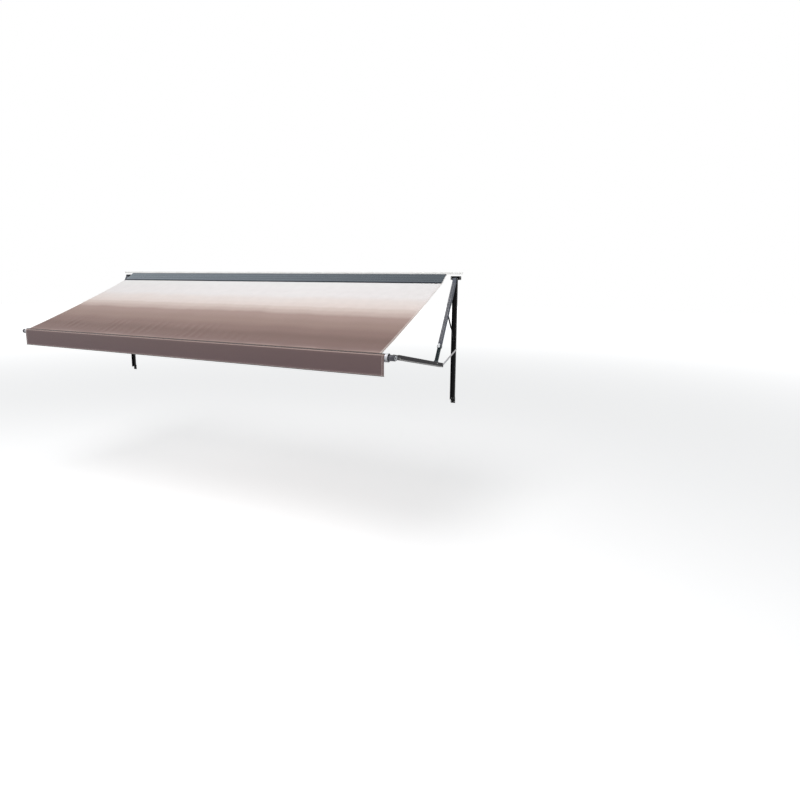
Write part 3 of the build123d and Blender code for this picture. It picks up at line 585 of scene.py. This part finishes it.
# %% Give the loaded parts their finishes
def dress(material, *names):
    """Each loaded part takes one finish."""
    for name in names:
        part = nodes[name]
        part.data.materials.clear()
        part.data.materials.append(material)


def both(*names):
    """The left and right names of parts that the awning has at both ends."""
    return [side + name for name in names for side in ("left_", "right_")]


dress(white_enamel, "awning_rail", "rail_end_caps")
dress(black_powder, *both("wall_channel", "top_bracket", "foot_bracket", "strut_bracket"))
dress(slate_arm, *both("upper_arm"))
dress(teal_arm, *both("inner_arm"))
dress(charcoal_arm, *both("lower_arm"))
dress(dark_casting, *both("elbow_casting", "pitch_clamp"))
dress(head_casting, *both("arm_head"))
dress(bright_metal, *both("control_link"))
dress(plain_steel, *both("elbow_pin", "elbow_washers", "head_screws", "strut_studs"))
dress(plain_steel, "shoulder_pins", "shoulder_washers", "link_wall_pins", "strut_wall_pins")
dress(plain_steel, "channel_rivets", "idler_shaft", "idler_bearing", "tube_motor")
dress(lever_enamel, *both("clamp_knob"))
dress(black_plastic, "motor_cable_gland", "motor_crown", "drive_wheel", "valance_hem_rod")
dress(grey_cap, *both("roller_cap"))
dress(tube_metal, "roller_tube")
dress(strut_enamel, *both("strut_cylinder"))
dress(nitrided_rod, *both("strut_rod"))
print("dressed", sum(1 for part in nodes.values() if part.data and part.data.materials))

# %% [markdown]
# ## Awning cloth
# The cloth is coated and fades from near white at the rail to mauve brown at the
# roller, and just before the roller it lightens again as a painted highlight. The fade runs along the
# slope, so the material reads the sheet's own UV
# map: U runs along the wall and V down the slope. Hems and stitches are placed on
# the same map, in metres.

# %% Cloth material
FADE_WITH_ROLL_HIGHLIGHT = (
    (0.00, (246, 245, 244)),
    (0.30, (242, 237, 236)),
    (0.40, (236, 225, 220)),
    (0.46, (231, 217, 211)),
    (0.50, (216, 199, 191)),
    (0.55, (199, 178, 170)),
    (0.60, (168, 143, 135)),
    (0.70, (154, 129, 120)),
    (0.80, (136, 110, 103)),
    (0.88, (121, 96, 89)),
    (0.95, (126, 101, 95)),
    # From here the cloth lightens again: painted highlight where it goes over the roller.
    (0.98, (132, 108, 103)),
    (1.00, (158, 134, 128)),
)
HEM_WIDTH = 26 * MM
HEM_SEAM_SHARE = 0.85
HEM_TONE_SHARE = 0.35
CLOTH_RELIEF = 0.6 * MM
THREADS_PER_METRE = 560
THREAD_TONE_SHARE = 0.6
THREAD_LIFT = 1.5
DRIFT_SCALE = 2.2
DRIFT_REACH = 0.05
STAIN_SCALE = 9


def cloth_material(name, width, length, colour_stops, hem_tone, stitch_rows, tapes=()):
    """Coated cloth with a fade along V, side hems, stitch rows, a weave and tapes."""
    material = bpy.data.materials.new(name)
    material.use_nodes = True
    tree = material.node_tree
    shader = tree.nodes["Principled BSDF"]
    uv = tree.nodes.new("ShaderNodeUVMap")
    uv.uv_map = "cloth"
    metres = tree.nodes.new("ShaderNodeMapping")
    metres.inputs["Scale"].default_value = (width, length, 1)
    tree.links.new(uv.outputs[0], metres.inputs["Vector"])
    parts = tree.nodes.new("ShaderNodeSeparateXYZ")
    tree.links.new(uv.outputs[0], parts.inputs[0])
    sizes = tree.nodes.new("ShaderNodeSeparateXYZ")
    tree.links.new(metres.outputs[0], sizes.inputs[0])
    along, down = sizes.outputs[0], sizes.outputs[1]
    # Uneven dye moves the fade up and down a little along the awning
    drift = add_noise(tree, metres.outputs[0], DRIFT_SCALE, 3)
    shift = calculate(tree, "MULTIPLY_ADD", drift, DRIFT_REACH, -DRIFT_REACH / 2)
    ramp = tree.nodes.new("ShaderNodeValToRGB")
    ramp.color_ramp.interpolation = "EASE"
    tree.links.new(calculate(tree, "ADD", parts.outputs[1], shift), ramp.inputs[0])
    stops = ramp.color_ramp.elements
    stops[0].position, stops[0].color = colour_stops[0][0], screen(*colour_stops[0][1])
    stops[1].position, stops[1].color = colour_stops[-1][0], screen(*colour_stops[-1][1])
    for position, tone in colour_stops[1:-1]:
        stops.new(position).color = screen(*tone)
    weave = tree.nodes.new("ShaderNodeGroup")
    weave.node_tree = weave_group
    tree.links.new(metres.outputs[0], weave.inputs["Vector"])
    weave.inputs["Threads per Metre"].default_value = THREADS_PER_METRE
    mottle = calculate(tree, "MULTIPLY_ADD", weave.outputs["Shade"], 0.16, 0.92)
    stains = add_noise(tree, metres.outputs[0], STAIN_SCALE, 5)
    stained = calculate(tree, "MULTIPLY_ADD", stains, 0.12, 0.94)
    shade = calculate(tree, "MULTIPLY", mottle, stained)
    toned = mix_colours(tree, 1.0, ramp.outputs[0], shade, "MULTIPLY")
    # Hems are doubled cloth, and look a tone apart
    from_end = calculate(tree, "SUBTRACT", width, along)
    nearest = calculate(tree, "MINIMUM", along, from_end)
    in_hem = calculate(tree, "LESS_THAN", nearest, HEM_WIDTH)
    hem_share = calculate(tree, "MULTIPLY", in_hem, HEM_TONE_SHARE)
    hemmed = mix_colours(tree, hem_share, toned, hem_tone)
    for tape_middle, tape_width, tape_tone in tapes:
        off_tape = calculate(tree, "ABSOLUTE", calculate(tree, "SUBTRACT", down, tape_middle))
        on_tape = calculate(tree, "LESS_THAN", off_tape, tape_width / 2)
        hemmed = mix_colours(tree, on_tape, hemmed, tape_tone)
    rows = calculate(tree, "ADD", 0, 0)
    for across, row, length_along in (
        (nearest, HEM_WIDTH * HEM_SEAM_SHARE, down),
        *[(down, row, along) for row in stitch_rows],
    ):
        stitches = tree.nodes.new("ShaderNodeGroup")
        stitches.node_tree = stitch_group
        tree.links.new(length_along, stitches.inputs["Along"])
        tree.links.new(across, stitches.inputs["Across"])
        stitches.inputs["Row"].default_value = row
        rows = calculate(tree, "MAXIMUM", rows, stitches.outputs["Mask"])
    thread_share = calculate(tree, "MULTIPLY", rows, THREAD_TONE_SHARE)
    sewn = mix_colours(tree, thread_share, hemmed, screen(226, 218, 212))
    tree.links.new(sewn, shader.inputs["Base Color"])
    roughness = calculate(tree, "MULTIPLY_ADD", stains, 0.2, 0.55)
    tree.links.new(roughness, shader.inputs["Roughness"])
    lifted = calculate(tree, "MULTIPLY_ADD", rows, THREAD_LIFT, weave.outputs["Height"])
    stepped = calculate(tree, "ADD", lifted, in_hem)
    bump = tree.nodes.new("ShaderNodeBump")
    bump.inputs["Strength"].default_value = 0.35
    bump.inputs["Distance"].default_value = CLOTH_RELIEF
    tree.links.new(stepped, bump.inputs["Height"])
    tree.links.new(bump.outputs[0], shader.inputs["Normal"])
    shader.inputs["Sheen Weight"].default_value = 0.08
    shader.inputs["Specular IOR Level"].default_value = 0.35
    return material


print("fade stops", len(FADE_WITH_ROLL_HIGHLIGHT))

# %% [markdown]
# ## The canopy
# The canopy is one sheet, held by a bead in the rail and by the roller. It drops
# steeply under the shield, bends at the shield's end and then runs on with a
# shallow sag. Near the roller the cloth is drawn in by the winding and shows soft
# slanting wrinkles. A grid is the right start: every row is one place on the slope.

# %% Path of the cloth
CLOTH = 0.8 * MM
SAG = 16 * MM
SHIELD_BEND = 34 * MM


def slope_path():
    """Rail, shield's end, touch on the roll, and the lengths between them."""
    radius = roll_radius + CLOTH
    reach = roller - shield_end
    reach.x = 0
    angle = math.atan2(reach.z, -reach.y) + math.pi - math.acos(radius / reach.length)
    touch = Vector((0, roller.y - radius * math.cos(angle), roller.z + radius * math.sin(angle)))
    start = Vector((0, bead.y, bead.z))
    return start, shield_end.copy(), touch


rail_point, fold_point, touch_point = slope_path()
first_run = (fold_point - rail_point).length
second_run = (touch_point - fold_point).length
slope_length = first_run + second_run
print("slope", round(slope_length, 3), "m, bend at", round(first_run / slope_length, 3))


def upward_normal(direction):
    """The direction square to a run down the slope, pointing up."""
    return Vector((0, direction.z, -direction.y))


def on_slope(distance):
    """Place and upward normal of the cloth at a distance from the rail."""
    steep = (fold_point - rail_point).normalized()
    shallow = (touch_point - fold_point).normalized()
    if distance < first_run:
        place = rail_point + steep * distance
    else:
        share = (distance - first_run) / second_run
        droop = 4 * SAG * share * (1 - share)
        place = fold_point.lerp(touch_point, share) - upward_normal(shallow) * droop
    turned = min(max((distance - first_run + SHIELD_BEND) / (2 * SHIELD_BEND), 0), 1)
    return place, upward_normal(steep.lerp(shallow, turned).normalized())


# %% The canopy's sheet
CANOPY_COLUMNS = 300
CANOPY_ROWS = 120
BEAD_CLEARANCE = 6 * MM
SLOW_WAVE = 5 * MM
SLOW_PACE = (0.9, 3.0)
QUICK_WAVE = 1.6 * MM
QUICK_PACE = (2.6, 5.0)
WRINKLE = 4.2 * MM
WRINKLE_PITCH = 118 * MM
WRINKLE_SLANT = 0.22
WRINKLE_WANDER = 2.2
WANDER_PACE = (1.9, 5.0)
WRINKLE_TROUGH = -0.35
WRINKLES_AT_RIGHT = 0.25
WRINKLES_FROM_RIGHT = (1.6, -0.2)
WRINKLES_GROW = (0.72, 0.86)
WRINKLES_END = (1.0, 0.955)
WAVES_GROW = (0.11, 0.25)
WAVES_END = (1.0, 0.88)


def smooth_step(low, high, value):
    """0 at low, 1 at high and an even curve between. Low may be the larger value."""
    share = min(max((value - low) / (high - low), 0), 1)
    return share * share * (3 - 2 * share)


def ripple(x, share, pace, layer):
    """Smooth noise over the sheet. Each layer is another pattern."""
    return noise.noise(Vector((x * pace[0], share * pace[1], layer)))


def cloth_relief(x, share):
    """How far the canopy stands off its even slope at a place, in metres."""
    broad = ripple(x, share, SLOW_PACE, 3.1) * SLOW_WAVE
    broad += ripple(x, share, QUICK_PACE, 7.7) * QUICK_WAVE
    broad *= smooth_step(*WAVES_GROW, share) * smooth_step(*WAVES_END, share)
    from_right = smooth_step(*WRINKLES_FROM_RIGHT, x)
    strength = from_right * (1 - WRINKLES_AT_RIGHT) + WRINKLES_AT_RIGHT
    near_roller = smooth_step(*WRINKLES_GROW, share) * smooth_step(*WRINKLES_END, share)
    wander = ripple(x, share, WANDER_PACE, 0.4) * WRINKLE_WANDER
    slanted = x - WRINKLE_SLANT * slope_length * (share - 0.9)
    crest = max(math.sin(2 * math.pi * slanted / WRINKLE_PITCH + wander), WRINKLE_TROUGH)
    fade = smooth_step(-0.25, 0.35, noise.noise(Vector((x * 2.3, 9.0, share * 9.0))))
    return broad + WRINKLE * strength * near_roller * fade * crest


def finish_sheet(sheet, thickness):
    """Smooth faces and a real thickness, applied to the mesh."""
    deselect()
    sheet.select_set(True)
    bpy.context.view_layer.objects.active = sheet
    bpy.ops.object.shade_smooth()
    solid = sheet.modifiers.new("cloth thickness", "SOLIDIFY")
    solid.thickness = thickness
    solid.offset = 0
    bpy.ops.object.modifier_apply(modifier=solid.name)


def grid_sheet(name, columns, rows, place_at):
    """A sheet whose grid points are put in place by a function of two shares."""
    deselect()
    bpy.ops.mesh.primitive_grid_add(x_subdivisions=columns, y_subdivisions=rows, size=2)
    sheet = bpy.context.object
    sheet.name = name
    layer = sheet.data.uv_layers[0]
    layer.name = "cloth"
    for loop in sheet.data.loops:
        point = sheet.data.vertices[loop.vertex_index].co
        layer.data[loop.index].uv = ((point.x + 1) / 2, (1 - point.y) / 2)
    for vertex in sheet.data.vertices:
        across = (vertex.co.x + 1) / 2
        down = (1 - vertex.co.y) / 2
        vertex.co = place_at(across, down)
    sheet.data.update()
    return sheet


def canopy_place(across, share):
    """A point of the canopy."""
    x = (2 * across - 1) * fabric_half
    place, normal = on_slope(BEAD_CLEARANCE + share * (slope_length - BEAD_CLEARANCE))
    return Vector((x, place.y, place.z)) + normal * cloth_relief(x, share)


canopy = grid_sheet("canopy_sheet", CANOPY_COLUMNS, CANOPY_ROWS, canopy_place)
finish_sheet(canopy, CLOTH)
canopy_cloth = cloth_material(
    "faded_canopy_cloth", 2 * fabric_half, slope_length, FADE_WITH_ROLL_HIGHLIGHT, screen(236, 226, 220), ()
)
canopy.data.materials.append(canopy_cloth)
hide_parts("canopy")
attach(canopy, "root")
print("canopy faces", len(canopy.data.polygons))

# %% [markdown]
# ## Cloth on the roller
# The last turns of cloth stay on the roller. From the side they show as a spiral
# edge, so the roll is drawn as one strip that winds round the tube.

# %% Fabric roll
ROLL_TURNS = 3
ROLL_STEPS = 48
ROLL_COLUMNS = 24
ROLL_STARTS = math.radians(118)
CORE_RADIUS = 40.6 * MM
ROLL_SKIN = 0.6 * MM
ROLL_TONES = ((0.0, (139, 115, 110)), (1.0, (132, 109, 104)))


def roll_place(across, share):
    """A point of the wound cloth, from the outside in."""
    x = (2 * across - 1) * fabric_half
    angle = ROLL_STARTS + share * ROLL_TURNS * 2 * math.pi
    radius = roll_radius - ROLL_SKIN - share * (roll_radius - CORE_RADIUS - ROLL_SKIN)
    return Vector((x, roller.y + radius * math.cos(angle), roller.z + radius * math.sin(angle)))


wound_length = ROLL_TURNS * math.pi * (roll_radius + CORE_RADIUS)
roll = grid_sheet("fabric_roll_turns", ROLL_COLUMNS, ROLL_TURNS * ROLL_STEPS, roll_place)
finish_sheet(roll, CLOTH)
roll_cloth = cloth_material(
    "roller_cloth", 2 * fabric_half, wound_length, ROLL_TONES, screen(160, 138, 130), ()
)
roll.data.materials.append(roll_cloth)
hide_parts("fabric_roll")
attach(roll, "roller")
print("roll faces", len(roll.data.polygons))

# %% [markdown]
# ## The valance
# The valance leaves the roller at its top, goes over its front and hangs straight
# down. It is one sheet with a hem loop at its foot, where a thin rod keeps it
# straight. Real cloth never hangs dead flat, so slow waves grow towards the foot.

# %% Valance
VALANCE_COLUMNS = 200
VALANCE_ROWS = 80
VALANCE_START = math.radians(61)
# The dark band at the valance's top is painted shade of the seam gap.
SEAM_SHADE_TURN = math.radians(18)
PALE_TAPE_STARTS = math.radians(19)
PALE_TAPE_TURN = math.radians(13)
VALANCE_GAP = 1.2 * MM
VALANCE_WAVE = 2.6 * MM
HEM_LOOP = 3.6 * MM
STITCH_INSET = 6 * MM
valance_radius = roll_radius + VALANCE_GAP
arc_length = valance_radius * VALANCE_START
seam_shade_band = valance_radius * SEAM_SHADE_TURN
pale_tape = valance_radius * PALE_TAPE_TURN
pale_tape_middle = valance_radius * PALE_TAPE_STARTS + pale_tape / 2
drop_length = roller.z - (valance_foot + HEM_LOOP)
valance_length = arc_length + drop_length + 2 * math.pi * HEM_LOOP
VALANCE_TONES = (
    (0.00, (96, 78, 77)),
    (0.25, (89, 71, 71)),
    (0.80, (87, 69, 70)),
    (0.88, (106, 88, 87)),
    (1.00, (112, 94, 92)),
)


def valance_place(across, share):
    """A point of the valance: round the roller, down, and round the hem's rod."""
    x = (2 * across - 1) * valance_half
    distance = share * valance_length
    if distance < arc_length:
        angle = VALANCE_START - distance / valance_radius
        return Vector(
            (
                x,
                roller.y - valance_radius * math.cos(angle),
                roller.z + valance_radius * math.sin(angle),
            )
        )
    depth = distance - arc_length
    front = roller.y - valance_radius
    wave = noise.noise(Vector((x * 1.5, 0.5, 2.0))) + 0.4 * noise.noise(Vector((x * 4.1, 5.0, 1.0)))
    if depth < drop_length:
        grown = smooth_step(0, drop_length, depth)
        return Vector((x, front + wave * grown * VALANCE_WAVE, roller.z - depth))
    angle = (depth - drop_length) / HEM_LOOP
    y = front + HEM_LOOP - HEM_LOOP * math.cos(angle) + wave * VALANCE_WAVE
    return Vector((x, y, roller.z - drop_length - HEM_LOOP * math.sin(angle)))


valance = grid_sheet("valance_sheet", VALANCE_COLUMNS, VALANCE_ROWS, valance_place)
finish_sheet(valance, CLOTH)
valance_cloth = cloth_material(
    "mauve_valance_cloth",
    2 * valance_half,
    valance_length,
    VALANCE_TONES,
    screen(126, 108, 105),
    (seam_shade_band / 2, arc_length + drop_length - STITCH_INSET),
    (
        # Painted shade of the seam gap: a dark band with a row of stitches at the valance's top.
        (seam_shade_band / 2, seam_shade_band, screen(44, 30, 27)),
        (pale_tape_middle, pale_tape, screen(150, 128, 124)),
    ),
)
valance.data.materials.append(valance_cloth)
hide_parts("valance")
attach(valance, "valance")
print("valance length", round(valance_length, 3), "m")

# %% [markdown]
# ## Bead, welt and other long trim
# A cord sewn into the cloth's edge sits in the rail, and a pale welt lies on the
# valance below the dark band where it is held on the roller, which is painted shade of the seam gap.
# Both are long round
# profiles: a circle is extruded along the wall, and a bevel domes its ends.


# %% Long round profiles
END_ROUNDING_SHARE = 0.35
END_CORNER = math.radians(60)
ROUND_SIDE_TURN = math.radians(40)


def round_off(piece, width, corner, smooth_turn):
    """Faces turned outward, corners bevelled, and slighter turns shaded smooth."""
    bpy.ops.mesh.select_all(action="SELECT")
    bpy.ops.mesh.normals_make_consistent(inside=False)
    bpy.ops.object.mode_set(mode="OBJECT")
    bevel = piece.modifiers.new("soft edges", "BEVEL")
    bevel.width = width
    bevel.segments = 2
    bevel.limit_method = "ANGLE"
    bevel.angle_limit = corner
    bpy.ops.object.modifier_apply(modifier=bevel.name)
    bpy.ops.object.shade_smooth_by_angle(angle=smooth_turn)


def long_round(name, x_from, x_to, y, z, radius, sides=14):
    """A round bar along the wall, extruded from a circle in edit mode."""
    deselect()
    bpy.ops.mesh.primitive_circle_add(
        vertices=sides,
        radius=radius,
        fill_type="NGON",
        location=(x_from, y, z),
        rotation=(0, math.pi / 2, 0),
    )
    bar = bpy.context.object
    bar.name = name
    bpy.ops.object.transform_apply(location=True, rotation=True, scale=True)
    bpy.ops.object.mode_set(mode="EDIT")
    bpy.ops.mesh.select_all(action="SELECT")
    bpy.ops.mesh.extrude_region_move(TRANSFORM_OT_translate={"value": (x_to - x_from, 0, 0)})
    round_off(bar, radius * END_ROUNDING_SHARE, END_CORNER, ROUND_SIDE_TURN)
    return bar


def trim_cloth(name, tone, worn_tone):
    """Sewn tape and piping: matt, with a fine relief."""
    return hard_material(name, screen(*tone), screen(*worn_tone), 0.8, scale=40, relief=0.6)


bead_tape = trim_cloth("white_bead_tape", (232, 230, 226), (208, 204, 198))
welt_tape = trim_cloth("pale_welt_tape", (186, 166, 158), (160, 140, 133))
bead_radius = (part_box("canopy_bead")[1][2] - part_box("canopy_bead")[0][2]) / 2
bead_bar = long_round("canopy_bead_tape", -fabric_half, fabric_half, bead.y, bead.z, bead_radius)
bead_bar.data.materials.append(bead_tape)
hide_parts("canopy_bead")
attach(bead_bar, "root")

WELT_RADIUS = 1.4 * MM
WELT_SIDES = 10
welt_turn = VALANCE_START - PALE_TAPE_STARTS - PALE_TAPE_TURN / 2
welt_reach = valance_radius + CLOTH / 2 + WELT_RADIUS / 2
welt = long_round(
    "valance_welt",
    -valance_half,
    valance_half,
    roller.y - welt_reach * math.cos(welt_turn),
    roller.z + welt_reach * math.sin(welt_turn),
    WELT_RADIUS,
    WELT_SIDES,
)
welt.data.materials.append(welt_tape)
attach(welt, "valance")
print("bead radius", round(bead_radius, 4))

# %% [markdown]
# ## The weather shield
# Four thin metal slats are hinged to each other and lie on the cloth next to the
# rail. Rolled in, they wrap the cloth. Each slat is a strip with a shallow crown
# and a rolled edge. Its section is drawn once, one extrusion at a time, and the
# finished slat is copied down the slope. A dark lip ends the shield.

# %% One shield slat
SLATS = 4
SLAT_SKIN = 0.9 * MM
SLAT_CROWN = 1.1 * MM
SLAT_STEPS = 9
SLAT_GAP = 2.4 * MM
SLAT_CLEARANCE = 1 * MM
SHIELD_START = 15 * MM
SHADE_REACH = 14 * MM
SHARP_TURN = math.radians(35)
SAME_PLACE = 0.001 * MM
ROLLED_EDGE = ((1.2 * MM, 0.9 * MM), (0.2 * MM, 1.7 * MM))
slat_pitch = (first_run - SHIELD_START) / SLATS
slope_direction = (fold_point - rail_point).normalized()
slope_normal = upward_normal(slope_direction)
shade_end = rail_point + slope_direction * (SHIELD_START + SHADE_REACH)
# Painted shade: the shield darkens evenly towards its right end, and its upper edge is darker in the
# rail's shade.
paint_zone(shield_metal, screen(66, 75, 83), right_end_painted_shade)
paint_zone(shield_metal, screen(58, 66, 74), beside_rail)


def draw_strip(name, section):
    """A strip along the wall, made by extruding one edge from point to point."""
    deselect()
    bpy.ops.mesh.primitive_plane_add(size=2)
    strip = bpy.context.object
    strip.name = name
    places = [rail_point + slope_direction * down + slope_normal * rise for down, rise in section]
    for vertex in strip.data.vertices:
        goal = places[1] if vertex.co.y < 0 else places[0]
        vertex.co = Vector((math.copysign(shield_half, vertex.co.x), goal.y, goal.z))
    bpy.ops.object.mode_set(mode="EDIT")
    bpy.ops.mesh.select_mode(type="EDGE")
    bpy.ops.mesh.select_all(action="DESELECT")
    bpy.ops.object.mode_set(mode="OBJECT")
    for edge in strip.data.edges:
        ends = [strip.data.vertices[number].co for number in edge.vertices]
        edge.select = all((end - places[1]).yz.length < SAME_PLACE for end in ends)
    bpy.ops.object.mode_set(mode="EDIT")
    for before, after in zip(places[1:], places[2:]):
        bpy.ops.mesh.extrude_region_move(TRANSFORM_OT_translate={"value": tuple(after - before)})
    bpy.ops.object.mode_set(mode="OBJECT")
    return strip


def finish_strip(strip, material):
    """A skin's thickness, smooth faces with crisp folds, and its finish."""
    finish_sheet(strip, SLAT_SKIN)
    bpy.ops.object.shade_smooth_by_angle(angle=SHARP_TURN)
    strip.data.materials.append(material)


slat_reach = slat_pitch - SLAT_GAP
slat_base = CLOTH / 2 + SLAT_CLEARANCE
crown = [
    (
        SHIELD_START + slat_reach * step / SLAT_STEPS,
        slat_base + math.sin(math.pi * step / SLAT_STEPS) * SLAT_CROWN,
    )
    for step in range(SLAT_STEPS + 1)
]
hinge_start = SHIELD_START + slat_reach
rolled_edge = [(hinge_start + down, slat_base + rise) for down, rise in ROLLED_EDGE]
first_slat = draw_strip("shield_slat_1", crown + rolled_edge)
finish_strip(first_slat, shield_metal)
print("slat pitch", round(slat_pitch, 4), "m")

# %% The other slats and the shield's lower edge
LIP_OVERLAP = 9 * MM
LIP_CLEARANCE = 1.3 * MM
LIP_SECTION = (
    (0, 0),
    (5 * MM, 1.4 * MM),
    (13 * MM, 1.6 * MM),
    (19 * MM, 2.2 * MM),
    (25 * MM, 2.8 * MM),
)
slats = [first_slat]
for number in range(1, SLATS):
    slat = first_slat.copy()
    slat.data = first_slat.data.copy()
    slat.name = "shield_slat_%d" % (number + 1)
    slat.data.transform(Matrix.Translation(slope_direction * slat_pitch * number))
    scene.collection.objects.link(slat)
    slats.append(slat)
edge_start = first_run - LIP_OVERLAP
edge_base = slat_base + LIP_CLEARANCE
shield_lip = draw_strip(
    "shield_lower_lip", [(edge_start + down, edge_base + rise) for down, rise in LIP_SECTION]
)
finish_strip(shield_lip, shield_edge)
slats.append(shield_lip)
for slat in slats:
    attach(slat, "root")
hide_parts("weather_shield")
print("slats", [slat.name for slat in slats])

# %% [markdown]
# ## Ribs on the arms
# The extruded arms have low ribs along their faces, which show as thin bright
# lines; their pale finish is painted highlight. A rib is a narrow face that is extruded off the arm and
# bevelled. The upper arm has two on its front, and the lower arm has one along the foot of each
# side.


# %% Raised ribs
RIB_HEIGHT = 1 * MM
TRIM_ROUNDING_SHARE = 0.45
TRIM_CORNER = math.radians(30)
RIB_SHARP_TURN = math.radians(50)
print("rib height", RIB_HEIGHT, "m")


def raised_rib(name, start, end, across, outward, width):
    """A long rib: a thin face that is extruded off the arm and bevelled."""
    deselect()
    bpy.ops.mesh.primitive_plane_add(size=2)
    rib = bpy.context.object
    rib.name = name
    for vertex in rib.data.vertices:
        goal = end if vertex.co.y > 0 else start
        vertex.co = goal + across * math.copysign(width / 2, vertex.co.x)
    bpy.ops.object.mode_set(mode="EDIT")
    bpy.ops.mesh.select_all(action="SELECT")
    bpy.ops.mesh.extrude_region_move(
        TRANSFORM_OT_translate={"value": tuple(outward * RIB_HEIGHT)}
    )
    round_off(rib, RIB_HEIGHT * TRIM_ROUNDING_SHARE, TRIM_CORNER, RIB_SHARP_TURN)
    rib.data.materials.append(rib_highlight_metal)
    return rib


# %% Ribs on both pairs of arms
UPPER_RIB_WIDTH = 4 * MM
LOWER_RIB_WIDTH = 8 * MM
UPPER_FACE = 16 * MM
UPPER_RIB_OFFSET = 9 * MM
UPPER_RIB_STARTS = 60 * MM
UPPER_RIB_ENDS = 820 * MM
LOWER_HALF_WIDTH = 28 * MM
LOWER_RIB_DROP = 27.5 * MM
LOWER_RIB_STARTS = -175 * MM
LOWER_RIB_ENDS = 985 * MM
SIDEWAYS = Vector((1, 0, 0))
upper_run = middle("right_inner_arm") - shoulder
upper_run.x = 0
upper_run.normalize()
upper_outward = upward_normal(upper_run)
lower_run = Vector((0, -math.cos(LOWER_ARM_RISE), math.sin(LOWER_ARM_RISE)))
lower_down = -upward_normal(lower_run)
for side, sign in (("left", -1), ("right", 1)):
    web = Vector((sign * arm_x, shoulder.y, shoulder.z)) + upper_outward * UPPER_FACE
    flange = Vector((sign * arm_x, elbow.y, elbow.z)) + lower_down * LOWER_RIB_DROP
    for number, offset in enumerate((-1, 1)):
        line = web + SIDEWAYS * offset * UPPER_RIB_OFFSET
        upper_rib = raised_rib(
            "%s_upper_rib_%d" % (side, number + 1),
            line + upper_run * UPPER_RIB_STARTS,
            line + upper_run * UPPER_RIB_ENDS,
            SIDEWAYS,
            upper_outward,
            UPPER_RIB_WIDTH,
        )
        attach(upper_rib, side + "_upper")
        foot = flange + SIDEWAYS * offset * LOWER_HALF_WIDTH
        lower_rib = raised_rib(
            "%s_lower_rib_%d" % (side, number + 1),
            foot + lower_run * LOWER_RIB_STARTS,
            foot + lower_run * LOWER_RIB_ENDS,
            lower_down,
            SIDEWAYS * offset,
            LOWER_RIB_WIDTH,
        )
        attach(lower_rib, side + "_lower")
print("upper arm runs", tuple(round(v, 3) for v in upper_run))

# %% [markdown]
# ## Rings on the roller heads
# A bright pressed ring lies round the recess of each head. A filled circle is inset,
# its middle is taken out, and the ring that is left is extruded and bevelled.

# %% Head rings
RING_RADIUS = 20 * MM
RING_WIDTH = 7 * MM
RING_HEIGHT = 2.5 * MM
RING_SIDES = 40
HEAD_HALF_WIDTH = 28 * MM


def head_ring(side, sign):
    """A flat ring on a head's outer face, about the roller's axis."""
    deselect()
    bpy.ops.mesh.primitive_circle_add(
        vertices=RING_SIDES,
        radius=RING_RADIUS,
        fill_type="NGON",
        location=(sign * (arm_x + HEAD_HALF_WIDTH), roller.y, roller.z),
        rotation=(0, sign * math.pi / 2, 0),
    )
    ring = bpy.context.object
    ring.name = side + "_head_ring"
    bpy.ops.object.transform_apply(location=True, rotation=True, scale=True)
    bpy.ops.object.mode_set(mode="EDIT")
    bpy.ops.mesh.select_all(action="SELECT")
    bpy.ops.mesh.inset(thickness=RING_WIDTH)
    bpy.ops.mesh.delete(type="FACE")
    bpy.ops.mesh.select_all(action="SELECT")
    bpy.ops.mesh.extrude_region_move(
        TRANSFORM_OT_translate={"value": (sign * RING_HEIGHT, 0, 0)}
    )
    round_off(ring, RING_HEIGHT * TRIM_ROUNDING_SHARE, TRIM_CORNER, SHARP_TURN)
    ring.data.materials.append(lever_enamel)
    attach(ring, side + "_lower")
    return ring


rings = [head_ring("left", -1), head_ring("right", 1)]
print("rings", [len(ring.data.polygons) for ring in rings])

# %% [markdown]
# ## Own meshes
# When the arms fold, the roller winds the cloth in and what is left lies against the
# rail. Here the canopy and the shield's pieces only get meshes of their own.

# %% Own meshes for the canopy and shield
for piece in [canopy] + slats:
    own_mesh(piece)

print("sheets", canopy.name, valance.name)
